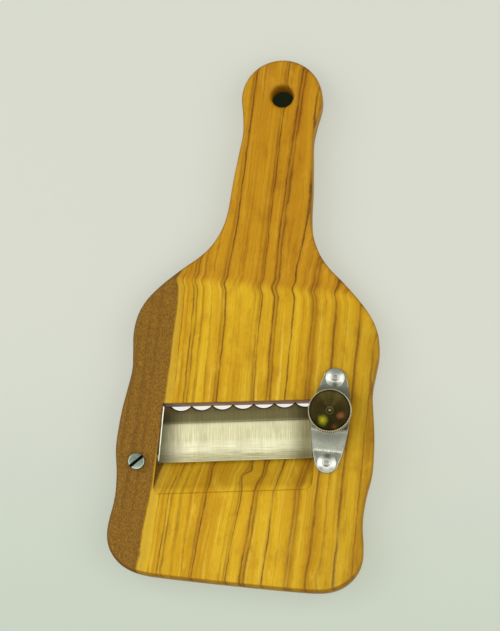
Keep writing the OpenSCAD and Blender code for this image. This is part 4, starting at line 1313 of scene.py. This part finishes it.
def build_spring():
    turns, r, wire, sides, per = 4.0, 5.1, 0.5, 14, 48
    z0, z1 = 17.35 + wire, 23.35 - wire
    n = int(turns * per)
    rings = []
    for i in range(n + 1):
        t = i / n
        # closed ends: the first and last half turn lie almost flat
        e = 0.5 / turns
        if t < e:
            f = 0.30 * (t / e) ** 2 * e
        elif t > 1 - e:
            f = 1 - 0.30 * ((1 - t) / e) ** 2 * e
        else:
            a0, a1 = 0.30 * e, 1 - 0.30 * e
            f = a0 + (a1 - a0) * (t - e) / (1 - 2 * e)
        a = 2 * PI * turns * t
        cx, cy, cz = STUD[0] + r * math.cos(a), STUD[1] + r * math.sin(a), z0 + (z1 - z0) * f
        ring = []
        for k in range(sides):
            b = 2 * PI * k / sides
            q = wire * (1 if 0 < i < n else 0.8)
            ring.append((cx + q * math.cos(b) * math.cos(a), cy + q * math.cos(b) * math.sin(a), cz + q * math.sin(b)))
        rings.append(ring)
    verts, faces = [], []
    for ring in rings:
        verts += ring
    for i in range(n):
        for k in range(sides):
            q = (k + 1) % sides
            faces.append((i * sides + k, i * sides + q, (i + 1) * sides + q, (i + 1) * sides + k))
    faces.append(tuple(range(sides))[::-1])
    faces.append(tuple(n * sides + k for k in range(sides)))
    return make("spring_coil", verts, faces, merge=0, sharp=50)


def build_clip():
    a0 = math.degrees(math.asin(0.9 / 3.0))
    b0 = math.degrees(math.asin(0.9 / 1.2))
    loop = arc((STUD[0], STUD[1]), 3.0, a0, 360 - a0, 40)
    loop += arc((STUD[0], STUD[1]), 1.2, 360 - b0, b0, 24)
    loop = [loop[i] for i in range(len(loop)) if math.dist(loop[i], loop[i - 1]) > 1e-4]
    vs, fs = slab(loop, [], TAB_Z - 3.05, TAB_Z - 2.55, 0.08, 1.0, None, 2)
    return make("stud_clip", vs, fs, sharp=40)


place(build_bush(), BRASS, "board_body", ["threaded_bush"])
place(build_knob(), KNOB, "knob_body", ["knob"])
place(build_stud(), STUD_STEEL, "knob_body", ["adjusting_stud"])
place(build_clip(), CLIP, "knob_body", ["retaining_clip"])
vs, fs = lathe(fillet([(2.62, HUB_Z - 0.6), (5.9, HUB_Z - 0.6), (5.9, HUB_Z - 0.05), (2.62, HUB_Z - 0.05)], 0.12, 3, True), STUD, 80)
place(make("washer_thrust", vs, fs), SPRING_WASHER, "swivel_body", ["spring_washer"])
q = TAB_Z
vs, fs = lathe(fillet([(1.55, q - 2.25), (4.2, q - 2.25), (4.2, q - 1.25), (2.2, q - 1.25), (2.2, q + 1.25), (4.2, q + 1.25),
                       (4.2, q + 2.25), (1.55, q + 2.25)], [0.15, 0.2, 0.15, 0.15, 0.15, 0.15, 0.2, 0.15], 3, True), STUD, 72)
place(make("bush_swivel", vs, fs, sharp=40), SWIVEL, "swivel_body", ["swivel_bush"])
spring = build_spring()
place(spring, SPRING, "board_body", ["knob_spring"])
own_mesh(spring)


# ---- floor, light, camera ---------------------------------------------------------
def floor():
    size = 3.0
    mesh = bpy.data.meshes.new("floor")
    n = 24
    verts = [((i / n - 0.5) * size, (j / n - 0.5) * size, 0.0) for j in range(n + 1) for i in range(n + 1)]
    faces = [(j * (n + 1) + i, j * (n + 1) + i + 1, (j + 1) * (n + 1) + i + 1, (j + 1) * (n + 1) + i)
             for j in range(n) for i in range(n)]
    mesh.from_pydata(verts, [], faces)
    obj = bpy.data.objects.new("floor", mesh)
    bpy.context.scene.collection.objects.link(obj)
    obj.location = (0, 0, -0.0004)
    k = Kit("floor_pale")
    far = k.fit(k.y, -150.0, 0.0, 1.0, 0.0)
    c = k.mix(far, rgb(219, 222, 210), rgb(205, 214, 198))
    # it glows a little more below the window and is dark below the hanging hole
    _, v, _ = k.turned(-SKEW, (0, HEEL_Y, 0))
    window = k.math("MULTIPLY", k.fit(v, 18.0, 20.0), k.fit(v, 25.2, 26.2, 1.0, 0.0))
    window = k.math("MULTIPLY", window, k.math("MULTIPLY", k.fit(k.x, -37.4, -36.4), k.fit(k.x, 29.8, 30.8, 1.0, 0.0)))
    hx, hy = k.math("SUBTRACT", k.x, HANG[0]), k.math("SUBTRACT", k.y, HANG[1])
    hole = k.fit(k.math("SQRT", k.math("ADD", k.math("MULTIPLY", hx, hx), k.math("MULTIPLY", hy, hy))), 6.3, 6.9, 1.0, 0.0)
    c = k.mix(hole, c, rgb(30, 38, 22))
    k.finish(k.mix(1.0, c, (0.42, 0.42, 0.42, 1.0), "MULTIPLY"), 0.0, 0.7, Specular_IOR_Level=0.1)
    k.put(k.shader.inputs["Emission Color"], k.mix(window, c, rgb(250, 251, 246)))
    k.put(k.shader.inputs["Emission Strength"], k.fit(window, 0.0, 1.0, 0.56, 0.84))
    # seen from below it is clear
    clear = k.t.nodes.new("ShaderNodeBsdfTransparent")
    side = k.t.nodes.new("ShaderNodeNewGeometry")
    either = k.t.nodes.new("ShaderNodeMixShader")
    k.t.links.new(side.outputs["Backfacing"], either.inputs[0])
    k.t.links.new(k.shader.outputs[0], either.inputs[1])
    k.t.links.new(clear.outputs[0], either.inputs[2])
    k.t.links.new(either.outputs[0], k.out.inputs[0])
    mesh.materials.append(k.m)
    return obj


def softbox(name, loc, target, size, power, color=(1, 1, 1)):
    light = bpy.data.lights.new(name, "AREA")
    light.shape = "RECTANGLE"
    light.size, light.size_y = size
    light.energy = power
    light.color = color
    obj = bpy.data.objects.new(name, light)
    bpy.context.scene.collection.objects.link(obj)
    obj.location = loc
    obj.rotation_mode = "QUATERNION"
    obj.rotation_quaternion = (Vector(target) - Vector(loc)).to_track_quat("-Z", "Y")
    return obj


floor()
softbox("overhead", (0.0, -0.36, 1.25), (0, -0.02, 0), (1.4, 0.44), 3.4, (1.0, 0.99, 0.95))
softbox("front", (0.05, -0.95, 1.0), (0, -0.02, 0), (1.4, 0.9), 2.7, (1.0, 0.99, 0.95))
softbox("left", (-0.95, 0.1, 0.8), (0, 0, 0), (1.2, 0.9), 6.6, (0.99, 1.0, 0.98))
softbox("right", (0.95, 0.1, 0.8), (0, 0, 0), (1.2, 0.9), 5.6, (1.0, 0.99, 0.96))

world = bpy.data.worlds.new("studio")
bpy.context.scene.world = world
world.use_nodes = True
world.node_tree.nodes["Background"].inputs[0].default_value = (0.92, 0.94, 0.90, 1)
world.node_tree.nodes["Background"].inputs[1].default_value = 0.35

cam_data = bpy.data.cameras.new("camera")
cam_data.sensor_width = 36.0
cam_data.lens = 2050.0 / 631.0 * 36.0
cam_data.clip_start, cam_data.clip_end = 0.05, 20.0
cam = bpy.data.objects.new("camera", cam_data)
bpy.context.scene.collection.objects.link(cam)
cam.matrix_world = Matrix((
    (0.9912347, -0.09092507, 0.09584575, 0.080697),
    (0.10653172, 0.97917021, -0.17284874, -0.152062),
    (-0.07813302, 0.18154428, 0.98027389, 0.874294),
    (0, 0, 0, 1)))
bpy.context.scene.camera = cam
bpy.context.scene.view_settings.view_transform = "Standard"
bpy.context.scene.view_settings.look = "None"
